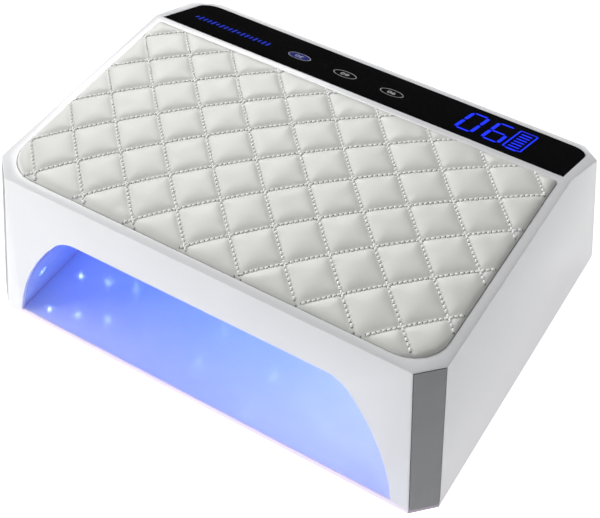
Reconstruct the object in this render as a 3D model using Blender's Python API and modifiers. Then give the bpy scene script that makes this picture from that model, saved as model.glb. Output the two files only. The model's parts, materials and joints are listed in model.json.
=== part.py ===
"""A UV LED nail lamp: a drafted housing over a hand tunnel, lifting off a magnetic floor tray.

Metres, +Z up, +X to the right and -Y towards the hand that enters the tunnel.
The origin is under the middle of the lamp, on the surface that its feet stand on.
"""

import math

import bmesh
import bpy
from mathutils import Matrix, Vector

MM = 0.001
GAP = 0.3 * MM  # left between neighbouring pieces

# Housing: an eight-sided block with the same draft on all four walls
TOP_Z = 88.7 * MM
TOP_HALF_X = 113.7 * MM
TOP_HALF_Y = 86.3 * MM
DRAFT = 0.1063  # growth of each half side per metre downwards
CORNER_LEG = 10.5 * MM
HOUSING_LOW_Z = 4.2 * MM
EDGE_RADIUS = 0.8 * MM
WALL = 2.2 * MM
CREASE_Y = 44.1 * MM  # where the flat top turns down into the control panel
PANEL_TILT = math.radians(22.96)
PANEL_WALL = 4.6 * MM
DECK_THICKNESS = 2.2 * MM

# Hand tunnel: on each side a long arc leaning inwards, then a fillet into the flat roof
FLOOR_Z = 5.2 * MM
ROOF_Z = 66.0 * MM
FOOT_X = 103.4 * MM
FOOT_LEAN = math.radians(8.7)
SIDE_RADIUS = 107.0 * MM
SIDE_END_LEAN = math.radians(42.0)
SIDE_STEPS = 6
FILLET_STEPS = 5
LINER = 1.4 * MM
LINER_FOOT_Z = HOUSING_LOW_Z + 0.1 * MM
TUNNEL_BACK_Y = 51.5 * MM
MOUTH_BACK_Y = -80.0 * MM

# Tray
TRAY_LOW_Z = 1.2 * MM
TRAY_FLANGE_Z = 3.9 * MM
TRAY_INSET = 0.6 * MM
PLATFORM_Z = 4.6 * MM
PLATFORM_SIDE_GAP = 0.5 * MM
PLATFORM_BACK_GAP = 0.4 * MM
FOOT_PAD_RADIUS = 6.0 * MM
FOOT_PAD_HEIGHT = 1.9 * MM
FOOT_PAD_EDGE = 0.5 * MM
FOOT_PAD_PLACES = [(x * MM, y * MM) for x in (-98, 98) for y in (-74, 74)]
MAGNET_RADIUS = 4.0 * MM
MAGNET_HEIGHT = 1.6 * MM
MAGNET_PLACES = [(x * MM, y * MM) for x in (-111.5, 111.5) for y in (-42, 36)]

# Lower chassis and its screws
CHASSIS_THICKNESS = 3.0 * MM
CHASSIS_TOP_Z = HOUSING_LOW_Z + CHASSIS_THICKNESS
CHASSIS_SIDE_GAP = 0.5 * MM
POST_PLACES = [(x * MM, y * MM) for x in (-116, 116) for y in (-68, 60)]
POST_SIDE = 7.0 * MM
POST_TOP_Z = 25.0 * MM
PART_RISE = 0.2 * MM  # how far screw heads and catch discs lie above the chassis's underside
SCREW_HEAD_RADIUS = 2.6 * MM
SCREW_HEAD_HEIGHT = 1.2 * MM
SCREW_SHANK_RADIUS = 0.9 * MM
SCREW_LENGTH = 12.0 * MM

# Arm cushion in its recess
CUSHION_HALF_X = 108.7 * MM
CUSHION_FRONT_Y = -81.5 * MM
CUSHION_BACK_Y = 40.5 * MM
CUSHION_FRONT_RADIUS = 17.0 * MM
CUSHION_BACK_RADIUS = 2.0 * MM
CUSHION_TOP_Z = 91.2 * MM
RECESS_Z = 81.9 * MM
COVER = 1.0 * MM
CUSHION_BOARD = 2.0 * MM

# Control panel, in a frame with y down the slope from the crease and z out of it
GLASS_HALF_X = 109.3 * MM
GLASS_FRONT = 0.9 * MM
GLASS_BACK = 42.0 * MM
GLASS_BACK_RADIUS = 8.5 * MM
GLASS = 2.0 * MM
CONTROL_BOARD_DEPTH = 11.7 * MM
BOARD = 1.6 * MM
DISPLAY_CENTRE = (68.0 * MM, 22.0 * MM)
DISPLAY_SIZE = (43.0 * MM, 32.0 * MM)
OPENING_DEPTH = 8.0 * MM
TOUCH_X = [x * MM for x in (-39.0, -12.8, 13.4)]
TOUCH_Y = 19.2 * MM
TOUCH_RADIUS = 4.0 * MM
CONTROL_BOARD_X = (-58.0 * MM, 98.0 * MM)
CONTROL_BOARD_Y = (4.0 * MM, 40.0 * MM)
CHIP_SINK = 0.4 * MM  # how far a component reaches into its board
CONTROL_CHIPS = [  # centre, size and height of each, in millimetres
    ((-6, 30), (9, 9), 1.4),
    ((-32, 28), (14, 6), 5.0),
    ((22, 29), (6, 5), 1.2),
    ((40, 27), (5, 8), 2.0),
]

# LEDs, in staggered rows along the tunnel
LED_PITCH = 26.0 * MM
LED_FIRST_Y = -80.0 * MM
LEDS_IN_ROW = 5
LED_SIDE_LEANS = [math.radians(lean) for lean in (17.0, 25.4, 33.4)]
LED_ROOF_X = [x * MM for x in (-40.0, 0.0, 40.0)]
LED_RADIUS = 2.5 * MM
LED_HOLE_RADIUS = 3.0 * MM
LED_SIDES = 8
LED_FACE_OFFSET = 1.55 * MM
LED_ROOT = 0.3 * MM
LED_BOARD = 1.2 * MM
LED_BOARD_OFFSET = LINER + 0.6 * MM
LED_BOARD_LOW_LEAN = math.radians(13.5)
LED_BOARD_Y = (-86.0 * MM, 46.0 * MM)
ROOF_BOARD_LOW = (-58.0 * MM, -80.0 * MM)
ROOF_BOARD_HIGH = (58.0 * MM, 40.0 * MM)

# Hand sensor in the tunnel's back wall
SENSOR_Z = 34.0 * MM
SENSOR_RADIUS = 2.5 * MM
SENSOR_Y = (TUNNEL_BACK_Y + 0.2 * MM, TUNNEL_BACK_Y + 4.0 * MM)

# Corner trim strips
STRIP_WIDTH = 13.6 * MM
STRIP_THICKNESS = 0.6 * MM
STRIP_TOP_MARGIN = 0.9 * MM

# Back panel, in a frame with y down the back wall and z out of it
BACK_PANEL_Z = 42.0 * MM
BACK_CUT = (-6.0 * MM, 3.0 * MM)  # from inside the wall to outside it
SWITCH_X = 56.0 * MM
SWITCH_HALF = (6.3 * MM, 9.3 * MM)
SWITCH_DEPTH = 15.0 * MM
BEZEL_HALF = (7.5 * MM, 10.5 * MM)
BEZEL = 1.5 * MM
ROCKER_HALF = (4.7 * MM, 7.2 * MM)
ROCKER_THICKNESS = 4.0 * MM  # above the pivot at its ends, and below it
ROCKER_WAIST = 2.8 * MM
ROCKER_TAPER = 0.2 * MM
ROCKER_WELL_DEPTH = 8.0 * MM
ROCKER_WELL_MARGIN = 0.8 * MM
ROCKER_PIVOT_DEPTH = 2.0 * MM
ROCKER_TILT = math.radians(8.0)
PIVOT_PIN_RADIUS = 0.8 * MM
JACK_X = 86.0 * MM
JACK_RADIUS = 3.8 * MM
JACK_BLOCK_HALF = (5.0 * MM, 6.0 * MM)
JACK_BACK = 15.0 * MM
JACK_LIP = 0.5 * MM
JACK_BORE_RADIUS = 2.8 * MM
JACK_BORE_DEPTH = 10.0 * MM
JACK_PIN_RADIUS = 1.0 * MM
JACK_PIN_TOP = -1.5 * MM
VENT_X = [x * MM for x in range(-94, -21, 8)]
VENT_HALF_WIDTH = 1.2 * MM
VENT_Y = (-9.0 * MM, 13.0 * MM)

# Battery pack and power board
CELL_RADIUS = 9.2 * MM
CELL_LENGTH = 65.0 * MM
CELL_Y = 68.0 * MM
CELL_Z = (19.5 * MM, 39.5 * MM)
CELL_X = (-67.5 * MM, -1.9 * MM)
CELL_END_GAP = 0.5 * MM
CELL_NUB_RADIUS = 3.0 * MM
CELL_EDGE = 0.6 * MM
HOLDER_WALL = 1.8 * MM
POWER_BOARD_X = (40.0 * MM, 104.0 * MM)
POWER_BOARD_Y = 60.0 * MM
POWER_BOARD_Z = (12.0 * MM, 54.0 * MM)
POWER_BLOCKS = [  # low x, low z, high x, high z and height of each, in millimetres
    (44, 38, 56, 50, 7),
    (60, 15, 72, 21, 2),
    (90, 14, 101, 22, 6),
]
CAN_RADIUS = 4.0 * MM
CAN_HEIGHT = 10.0 * MM
CAN_PLACES = [(47.0 * MM, 22.0 * MM), (82.0 * MM, 22.0 * MM)]
SINK_X = (62.0 * MM, 100.0 * MM)
SINK_Z = (30.0 * MM, 50.0 * MM)
SINK_BASE = 3.0 * MM
SINK_HEIGHT = 10.0 * MM
FIN_WIDTH = 1.5 * MM
FIN_SINK = 0.5 * MM
FIN_COUNT = 7
LEAD_RADIUS = 0.9 * MM
BATTERY_LEAD = [(34.6, 67, 46), (37, 67, 46.5), (38.4, 65, 47.5), (38.6, 61.5, 48)]
PANEL_LEAD = [(50, 60.8, 55.2), (50, 61.5, 58), (51, 61.2, 61), (50, 60.6, 64)]

ROUND_SIDES = 24
PIN_SIDES = 12
BORE_SIDES = 16
SHARP_ANGLE = math.radians(35)
FAR = 5.0 * MM  # how far a cutter runs on past the piece that it cuts

for old in list(bpy.data.objects):
    bpy.data.objects.remove(old, do_unlink=True)


def new_collection(name):
    collection = bpy.data.collections.new(name)
    bpy.context.scene.collection.children.link(collection)
    return collection


PARTS = new_collection("uv_led_nail_lamp")
CUTTERS = new_collection("cutters")
CUTTERS.hide_render = True


# ---------------------------------------------------------------- materials


def new_material(name, colour, roughness, metallic=0.0):
    material = bpy.data.materials.new(name)
    material.use_nodes = True
    material.diffuse_color = (*colour, 1.0)
    shader = material.node_tree.nodes["Principled BSDF"]
    shader.inputs["Base Color"].default_value = (*colour, 1.0)
    shader.inputs["Roughness"].default_value = roughness
    shader.inputs["Metallic"].default_value = metallic
    return material


WHITE_SHELL = new_material("white_shell", (0.86, 0.87, 0.89), 0.32)
SILVER_TRIM = new_material("silver_trim", (0.42, 0.43, 0.45), 0.35, 0.8)
CUSHION_SKIN = new_material("cushion_skin", (0.80, 0.80, 0.76), 0.45)
FOAM = new_material("foam", (0.75, 0.72, 0.62), 0.95)
BLACK_GLASS = new_material("black_glass", (0.005, 0.005, 0.006), 0.05)
DARK_PLASTIC = new_material("dark_plastic", (0.03, 0.03, 0.035), 0.45)
LINER_PLASTIC = new_material("liner_plastic", (0.80, 0.82, 0.90), 0.15)
MIRROR_SHEET = new_material("mirror_sheet", (0.85, 0.86, 0.90), 0.05, 1.0)
TRAY_PLASTIC = new_material("tray_plastic", (0.82, 0.80, 0.85), 0.35)
RUBBER = new_material("rubber", (0.04, 0.04, 0.04), 0.9)
STEEL = new_material("steel", (0.55, 0.55, 0.57), 0.3, 1.0)
ALUMINIUM = new_material("aluminium", (0.62, 0.63, 0.65), 0.35, 1.0)
CIRCUIT_BOARD = new_material("circuit_board", (0.02, 0.16, 0.07), 0.5)
LED_BOARD_WHITE = new_material("led_board_white", (0.80, 0.80, 0.78), 0.4)
CELL_WRAP = new_material("cell_wrap", (0.05, 0.20, 0.50), 0.4)
WIRE_JACKET = new_material("wire_jacket", (0.45, 0.02, 0.02), 0.5)


# ---------------------------------------------------------------- building helpers


def mesh_from(shape, name):
    """A mesh from this bmesh, smooth with sharp edges, and the bmesh freed."""
    bmesh.ops.recalc_face_normals(shape, faces=shape.faces)
    mesh = bpy.data.meshes.new(name)
    shape.to_mesh(mesh)
    shape.free()
    mesh.shade_smooth()
    mesh.set_sharp_from_angle(angle=SHARP_ANGLE)
    return mesh


def box_mesh(name, *corner_pairs):
    """Boxes, each given as its low and high corner, as one mesh."""
    shape = bmesh.new()
    for low, high in corner_pairs:
        low, high = Vector(low), Vector(high)
        matrix = Matrix.Translation((low + high) / 2) @ Matrix.Diagonal((*(high - low), 1))
        bmesh.ops.create_cube(shape, size=1, matrix=matrix)
    return mesh_from(shape, name)


def cylinder_mesh(name, radius, rods, sides=ROUND_SIDES):
    """Rods of one radius, each given as its two end points, as one mesh."""
    shape = bmesh.new()
    for start, end in rods:
        start, end = Vector(start), Vector(end)
        turn = (end - start).to_track_quat("Z", "Y").to_matrix().to_4x4()
        matrix = Matrix.Translation((start + end) / 2) @ turn
        bmesh.ops.create_cone(
            shape, cap_ends=True, segments=sides, radius1=radius, radius2=radius,
            depth=(end - start).length, matrix=matrix,
        )
    return mesh_from(shape, name)


def plate_mesh(name, outline, low, high):
    """A flat outline in the local XY plane, filled and extruded from low to high."""
    curve = bpy.data.curves.new(name, "CURVE")
    curve.dimensions = "2D"
    curve.fill_mode = "BOTH"
    curve.extrude = (high - low) / 2
    spline = curve.splines.new("POLY")
    spline.points.add(len(outline) - 1)
    for point, (x, y) in zip(spline.points, outline):
        point.co = (x, y, 0, 1)
    spline.use_cyclic_u = True
    guide = bpy.data.objects.new(name, curve)
    bpy.context.scene.collection.objects.link(guide)
    graph = bpy.context.evaluated_depsgraph_get()
    filled = bpy.data.meshes.new_from_object(guide.evaluated_get(graph))
    bpy.data.objects.remove(guide)
    bpy.data.curves.remove(curve)
    shape = bmesh.new()
    shape.from_mesh(filled)
    bpy.data.meshes.remove(filled)
    bmesh.ops.remove_doubles(shape, verts=shape.verts, dist=0.001 * MM)
    bmesh.ops.translate(shape, verts=shape.verts, vec=(0, 0, (low + high) / 2))
    return mesh_from(shape, name)


def along_y(mesh):
    """Turns a plate drawn in (x, z) so that it is extruded along Y."""
    mesh.transform(Matrix(((1, 0, 0, 0), (0, 0, 1, 0), (0, 1, 0, 0), (0, 0, 0, 1))))
    mesh.flip_normals()
    return mesh


def along_x(mesh):
    """Turns a plate drawn in (y, z) so that it is extruded along X."""
    mesh.transform(Matrix(((0, 0, 1, 0), (1, 0, 0, 0), (0, 1, 0, 0), (0, 0, 0, 1))))
    return mesh


def place(obj, parent, location, turn):
    obj.parent = parent
    obj.location = location
    obj.rotation_euler = turn


def add_piece(name, mesh, material, parent, location=(0, 0, 0), turn=(0, 0, 0)):
    """A named sub-part. Pieces that share a mesh also share its material."""
    piece = bpy.data.objects.new(name, mesh)
    PARTS.objects.link(piece)
    if not mesh.materials:
        mesh.materials.append(material)
    place(piece, parent, location, turn)
    return piece


def add_cutter(mesh, parent=None, location=(0, 0, 0), turn=(0, 0, 0)):
    cutter = bpy.data.objects.new(mesh.name, mesh)
    CUTTERS.objects.link(cutter)
    cutter.display_type = "WIRE"
    cutter.hide_render = True
    place(cutter, parent, location, turn)
    return cutter


def combine(target, operation, *others):
    for other in others:
        modifier = target.modifiers.new(other.name, "BOOLEAN")
        modifier.operation = operation
        modifier.object = other
        modifier.solver = "EXACT"


def cut(target, *cutters):
    combine(target, "DIFFERENCE", *cutters)


def unite(target, *additions):
    combine(target, "UNION", *additions)


def turned_piece(name, profile, material, parent, location, turn=(0, 0, 0), mesh=None):
    """A profile of (radius, z) points, from its top down to its bottom, turned about Z."""
    if mesh is None:
        mesh = bpy.data.meshes.new(name)
        points = [(radius, 0, z) for radius, z in profile]
        mesh.from_pydata(points, [(i, i + 1) for i in range(len(points) - 1)], [])
    piece = add_piece(name, mesh, material, parent, location, turn)
    screw = piece.modifiers.new("turn", "SCREW")
    screw.axis = "Z"
    screw.steps = ROUND_SIDES
    screw.render_steps = ROUND_SIDES
    screw.use_merge_vertices = True
    screw.merge_threshold = 0.001 * MM
    return piece


def turned_copies(name, places, profile, material, parent, z):
    """The same turned piece at each (x, y), sharing one mesh."""
    mesh = None
    pieces = []
    for number, (x, y) in enumerate(places, start=1):
        piece = turned_piece(f"{name}_{number}", profile, material, parent, (x, y, z), mesh=mesh)
        mesh = piece.data
        pieces.append(piece)
    return pieces


def disc_profile(radius, height, edge=0.0):
    """A disc standing on z = 0, with its lower edge cut back by edge."""
    chamfer = [(radius, edge)] if edge else []
    return [(0, height), (radius, height), *chamfer, (radius - edge, 0), (0, 0)]


def rods_at(places, low, high):
    return [((x, y, low), (x, y, high)) for x, y in places]


def tube_piece(name, points, radius, material, parent):
    """A round lead along a smooth curve through these points, given in millimetres."""
    curve = bpy.data.curves.new(name, "CURVE")
    curve.dimensions = "3D"
    curve.bevel_depth = radius
    curve.bevel_resolution = 2
    curve.resolution_u = 5
    curve.use_fill_caps = True
    spline = curve.splines.new("BEZIER")
    spline.bezier_points.add(len(points) - 1)
    for knot, point in zip(spline.bezier_points, points):
        knot.co = Vector(point) * MM
        knot.handle_left_type = knot.handle_right_type = "AUTO"
    piece = bpy.data.objects.new(name, curve)
    PARTS.objects.link(piece)
    curve.materials.append(material)
    place(piece, parent, (0, 0, 0), (0, 0, 0))
    return piece


def empty(name, location=(0, 0, 0), turn=(0, 0, 0), parent=None):
    frame = bpy.data.objects.new(name, None)
    PARTS.objects.link(frame)
    place(frame, parent, location, turn)
    return frame


# ---------------------------------------------------------------- shared geometry


def half_width(z):
    return TOP_HALF_X + DRAFT * (TOP_Z - z)


def half_depth(z):
    return TOP_HALF_Y + DRAFT * (TOP_Z - z)


def corner_leg(inset):
    """The corner's leg on a wall moved in by inset, so that the corner wall is as thick."""
    return CORNER_LEG - inset * (2 - math.sqrt(2))


def panel_plane(depth):
    """A point and the normal of the plane this deep under the sloping panel."""
    normal = Vector((0, math.sin(PANEL_TILT), math.cos(PANEL_TILT)))
    return Vector((0, CREASE_Y, TOP_Z)) - normal * depth, normal


def trim(shape, point, normal):
    """Cuts away what lies in front of a plane, and closes the cut."""
    geometry = [*shape.verts, *shape.edges, *shape.faces]
    result = bmesh.ops.bisect_plane(
        shape, geom=geometry, plane_co=point, plane_no=normal, clear_outer=True
    )
    rim = [item for item in result["geom_cut"] if isinstance(item, bmesh.types.BMEdge)]
    bmesh.ops.edgeloop_fill(shape, edges=rim)


def drafted_block(name, low, high, inset, panel_depth=None):
    """The housing's block moved in by inset; panel_depth also cuts the sloping panel off."""
    shape = bmesh.new()
    bmesh.ops.create_cube(shape, size=2)
    for vert in shape.verts:
        z = high if vert.co.z > 0 else low
        across = vert.co.x * (half_width(z) - inset)
        vert.co = (across, vert.co.y * (half_depth(z) - inset), z)
    upright = [e for e in shape.edges if abs(e.verts[0].co.z - e.verts[1].co.z) > MM]
    bmesh.ops.bevel(
        shape, geom=upright, offset=corner_leg(inset), offset_type="OFFSET", segments=1,
        profile=0.5, affect="EDGES",
    )
    if panel_depth is not None:
        trim(shape, *panel_plane(panel_depth))
    return mesh_from(shape, name)


def octagon(half_x, half_y, leg):
    """Corners of an eight-sided plan, counter-clockwise from the right side."""
    quarter = [(half_x, half_y - leg), (half_x - leg, half_y)]
    left = [(-x, y) for x, y in reversed(quarter)]
    back = quarter + left
    return back + [(x, -y) for x, y in reversed(back)]


def rounded(corners, steps=6):
    """An outline from (x, y, radius) corners in counter-clockwise order, all square."""
    outline = []
    for i, (x, y, radius) in enumerate(corners):
        here = Vector((x, y))
        before = (Vector(corners[i - 1][:2]) - here).normalized()
        after = (Vector(corners[(i + 1) % len(corners)][:2]) - here).normalized()
        if radius == 0:
            outline.append((x, y))
            continue
        centre = here + (before + after) * radius
        for step in range(steps + 1):
            angle = math.pi / 2 * step / steps
            point = centre - after * radius * math.cos(angle) - before * radius * math.sin(angle)
            outline.append(tuple(point))
    return outline


def cushion_outline(margin):
    """The cushion's plan, grown by margin."""
    back = CUSHION_BACK_RADIUS + max(margin, -CUSHION_BACK_RADIUS)
    front = CUSHION_FRONT_RADIUS + margin
    half_x = CUSHION_HALF_X + margin
    low, high = CUSHION_FRONT_Y - margin, CUSHION_BACK_Y + margin
    return rounded(
        [(-half_x, low, front), (half_x, low, front), (half_x, high, back), (-half_x, high, back)]
    )


def glass_outline(margin):
    """The control glass, grown by margin, in the panel's frame."""
    half_x = GLASS_HALF_X + margin
    low, high = GLASS_FRONT - margin, GLASS_BACK + margin
    radius = GLASS_BACK_RADIUS + margin
    return rounded(
        [(-half_x, low, 0), (half_x, low, 0), (half_x, high, radius), (-half_x, high, radius)]
    )


def arc_centre(radius, lean, point):
    return point[0] - radius * math.cos(lean), point[1] - radius * math.sin(lean)


SIDE_CENTRE = arc_centre(SIDE_RADIUS, FOOT_LEAN, (FOOT_X, FLOOR_Z))
SIDE_END = (
    SIDE_CENTRE[0] + SIDE_RADIUS * math.cos(SIDE_END_LEAN),
    SIDE_CENTRE[1] + SIDE_RADIUS * math.sin(SIDE_END_LEAN),
)
FILLET_RADIUS = (ROOF_Z - SIDE_END[1]) / (1 - math.sin(SIDE_END_LEAN))
FILLET_CENTRE = arc_centre(FILLET_RADIUS, SIDE_END_LEAN, SIDE_END)


def arch_point(lean, offset):
    """(x, z) on the tunnel's right half where the wall leans this much, moved out by offset."""
    on_side = lean <= SIDE_END_LEAN
    centre = SIDE_CENTRE if on_side else FILLET_CENTRE
    radius = (SIDE_RADIUS if on_side else FILLET_RADIUS) + offset
    return centre[0] + radius * math.cos(lean), centre[1] + radius * math.sin(lean)


def spread(start, end, steps):
    return [start + (end - start) * step / steps for step in range(steps + 1)]


def arch_outline(offset, foot_z):
    """The tunnel's outline from its right foot over the roof to its left foot."""
    leans = spread(FOOT_LEAN, SIDE_END_LEAN, SIDE_STEPS)
    leans += spread(SIDE_END_LEAN, math.pi / 2, FILLET_STEPS)[1:]
    right = [arch_point(lean, offset) for lean in leans]
    foot_x, start_z = right[0]
    right.insert(0, (foot_x + (start_z - foot_z) * math.tan(FOOT_LEAN), foot_z))
    return right + [(-x, z) for x, z in reversed(right)]


def row_y(row):
    """Where the LEDs of a row lie; every second row is moved on by half a pitch."""
    first = LED_FIRST_Y + (LED_PITCH / 2 if row % 2 else 0)
    return [first + LED_PITCH * number for number in range(LEDS_IN_ROW)]


def side_rods(low, high, side):
    """Rods square to the tunnel's side wall at its LEDs, between two offsets."""
    rods = []
    for row, lean in enumerate(LED_SIDE_LEANS):
        start, end = arch_point(lean, low), arch_point(lean, high)
        rods += [((side * start[0], y, start[1]), (side * end[0], y, end[1])) for y in row_y(row)]
    return rods


def roof_rods(low, high):
    return [
        ((x, y, ROOF_Z + low), (x, y, ROOF_Z + high))
        for row, x in enumerate(LED_ROOF_X)
        for y in row_y(row + 1)
    ]


# ---------------------------------------------------------------- frames

TRAY = empty("tray")
LAMP = empty("lamp", parent=TRAY)
PANEL = empty("panel_frame", (0, CREASE_Y, TOP_Z), (-PANEL_TILT, 0, 0), LAMP)
BACK = empty(
    "back_frame", (0, half_depth(BACK_PANEL_Z), BACK_PANEL_Z),
    (math.atan(DRAFT) - math.pi / 2, 0, 0), LAMP,
)


# ---------------------------------------------------------------- tray


def make_tray():
    reach_x = half_width(HOUSING_LOW_Z) - TRAY_INSET
    reach_y = half_depth(HOUSING_LOW_Z) - TRAY_INSET
    outline = octagon(reach_x, reach_y, corner_leg(TRAY_INSET))
    mesh = plate_mesh("base_plate", outline, TRAY_LOW_Z, TRAY_FLANGE_Z)
    plate = add_piece("base_plate", mesh, TRAY_PLASTIC, TRAY)
    floor_x = FOOT_X - PLATFORM_SIDE_GAP
    floor_back = TUNNEL_BACK_Y - PLATFORM_BACK_GAP
    platform = ((-floor_x, -reach_y, TRAY_FLANGE_Z - MM), (floor_x, floor_back, PLATFORM_Z))
    unite(plate, add_cutter(box_mesh("platform", platform)))
    feet = rods_at(FOOT_PAD_PLACES, 0, FOOT_PAD_HEIGHT + GAP)
    magnet_low = TRAY_FLANGE_Z - MAGNET_HEIGHT
    seats = rods_at(MAGNET_PLACES, magnet_low - GAP, TRAY_FLANGE_Z + MM)
    cut(
        plate,
        add_cutter(cylinder_mesh("foot_pockets", FOOT_PAD_RADIUS + GAP, feet)),
        add_cutter(cylinder_mesh("magnet_pockets", MAGNET_RADIUS + GAP, seats)),
    )
    sheet = ((-floor_x, -reach_y + GAP, PLATFORM_Z + GAP), (floor_x, floor_back, FLOOR_Z))
    add_piece("floor_mirror", box_mesh("floor_mirror", sheet), MIRROR_SHEET, TRAY)
    pad = disc_profile(FOOT_PAD_RADIUS, FOOT_PAD_HEIGHT, FOOT_PAD_EDGE)
    turned_copies("foot_pad", FOOT_PAD_PLACES, pad, RUBBER, TRAY, 0)
    magnet = disc_profile(MAGNET_RADIUS, MAGNET_HEIGHT)
    turned_copies("tray_magnet", MAGNET_PLACES, magnet, STEEL, TRAY, magnet_low)


# ---------------------------------------------------------------- housing


def panel_box(centre, size, low, high):
    """Low and high corner of a box from its plan's centre and size."""
    centre, half = Vector(centre), Vector(size) / 2
    return (*(centre - half), low), (*(centre + half), high)


def strip_mesh(name, matrix, margin, depth, top_margin):
    """A strip for one corner in its face's frame, grown by margin, reaching depth below it."""
    shape = bmesh.new()
    size = Matrix.Diagonal((STRIP_WIDTH + 2 * margin, 3 * TOP_Z, depth, 1))
    bmesh.ops.create_cube(shape, size=1, matrix=Matrix.Translation((0, 0, -depth / 2)) @ size)
    back = matrix.inverted()
    point, normal = panel_plane(top_margin)
    trim(shape, back @ point, back.to_3x3() @ normal)
    up = Vector((0, 0, 1))
    trim(shape, back @ Vector((0, 0, TOP_Z - top_margin)), back.to_3x3() @ up)
    low_z = HOUSING_LOW_Z + (GAP if margin == 0 else -MM)
    trim(shape, back @ Vector((0, 0, low_z)), back.to_3x3() @ -up)
    return mesh_from(shape, name)


def corner_matrix(side_x, side_y):
    """The frame of a corner face at mid height: z out of it, y up it."""
    z = TOP_Z / 2
    leg = CORNER_LEG / 2
    point = Vector((side_x * (half_width(z) - leg), side_y * (half_depth(z) - leg), z))
    normal = Vector((side_x, side_y, 2 * DRAFT)).normalized()
    across = Vector((-side_y, side_x, 0)).normalized()
    up = normal.cross(across)
    return Matrix.Translation(point) @ Matrix((across, up, normal)).transposed().to_4x4()


CORNERS = {
    "front_right": (1, -1),
    "front_left": (-1, -1),
    "back_right": (1, 1),
    "back_left": (-1, 1),
}


def make_housing():
    block = drafted_block("outer_shell", HOUSING_LOW_Z, TOP_Z, 0, panel_depth=0)
    shell = add_piece("outer_shell", block, WHITE_SHELL, LAMP)
    bevel = shell.modifiers.new("soft_edges", "BEVEL")
    bevel.width = EDGE_RADIUS
    bevel.segments = 2
    bevel.limit_method = "ANGLE"
    bevel.angle_limit = math.radians(30)
    deck = RECESS_Z - DECK_THICKNESS
    cut(shell, add_cutter(drafted_block("cavity", -FAR, deck, WALL, PANEL_WALL), LAMP))
    add_screw_posts(shell)
    mouth = plate_mesh("mouth", arch_outline(0, -FAR), -TOP_HALF_Y - 5 * FAR, MOUTH_BACK_Y)
    recess = plate_mesh("cushion_recess", cushion_outline(GAP), RECESS_Z, TOP_Z + FAR)
    cut(shell, add_cutter(along_y(mouth), LAMP), add_cutter(recess, LAMP))
    cut_panel(shell)
    for name, sides in CORNERS.items():
        add_corner_strip(shell, name, corner_matrix(*sides))
    cut_back(shell)


def add_screw_posts(shell):
    low = CHASSIS_TOP_Z + GAP
    posts = []
    for x, y in POST_PLACES:
        inner = abs(x) - POST_SIDE / 2
        outer = half_width(POST_TOP_Z) - GAP
        low_x, high_x = (inner, outer) if x > 0 else (-outer, -inner)
        posts.append(((low_x, y - POST_SIDE / 2, low), (high_x, y + POST_SIDE / 2, POST_TOP_Z)))
    unite(shell, add_cutter(box_mesh("screw_posts", *posts), LAMP))
    pilots = rods_at(POST_PLACES, low - MM, low + SCREW_LENGTH)
    holes = cylinder_mesh("pilot_holes", SCREW_SHANK_RADIUS + GAP, pilots, PIN_SIDES)
    cut(shell, add_cutter(holes, LAMP))


def cut_panel(shell):
    """The glass's pocket, and the openings under it for the display and the touch pads."""
    pocket = plate_mesh("glass_pocket", glass_outline(GAP), -GLASS - GAP, 2 * FAR)
    size = [side + 2 * GAP for side in DISPLAY_SIZE]
    window = box_mesh("display_window", panel_box(DISPLAY_CENTRE, size, -OPENING_DEPTH, MM))
    touch = rods_at([(x, TOUCH_Y) for x in TOUCH_X], -OPENING_DEPTH, MM)
    openings = cylinder_mesh("touch_openings", TOUCH_RADIUS + GAP, touch, BORE_SIDES)
    cut(shell, *(add_cutter(mesh, PANEL) for mesh in (pocket, window, openings)))


def add_corner_strip(shell, name, matrix):
    turn = matrix.to_euler()
    depth = STRIP_THICKNESS + GAP
    groove = strip_mesh(f"groove_{name}", matrix, GAP, depth, STRIP_TOP_MARGIN - GAP)
    for vert in groove.vertices:
        if vert.co.z > -depth / 2:
            vert.co.z += MM
    cut(shell, add_cutter(groove, LAMP, matrix.translation, turn))
    strip = strip_mesh(f"corner_strip_{name}", matrix, 0, STRIP_THICKNESS, STRIP_TOP_MARGIN)
    add_piece(strip.name, strip, SILVER_TRIM, LAMP, matrix.translation, turn)


def cut_back(shell):
    """The holes in the back wall: the switch's, the vents and the jack's."""
    low, high = BACK_CUT
    hole_x, hole_y = (side + GAP for side in SWITCH_HALF)
    hole = ((SWITCH_X - hole_x, -hole_y, low), (SWITCH_X + hole_x, hole_y, high))
    width = VENT_HALF_WIDTH
    vents = [((x - width, VENT_Y[0], low), (x + width, VENT_Y[1], high)) for x in VENT_X]
    jack = cylinder_mesh("jack_hole", JACK_RADIUS + GAP, rods_at([(JACK_X, 0)], low, high), BORE_SIDES)
    cut(
        shell,
        add_cutter(box_mesh("switch_hole", hole), BACK),
        add_cutter(box_mesh("vents", *vents), BACK),
        add_cutter(jack, BACK),
    )


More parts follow.
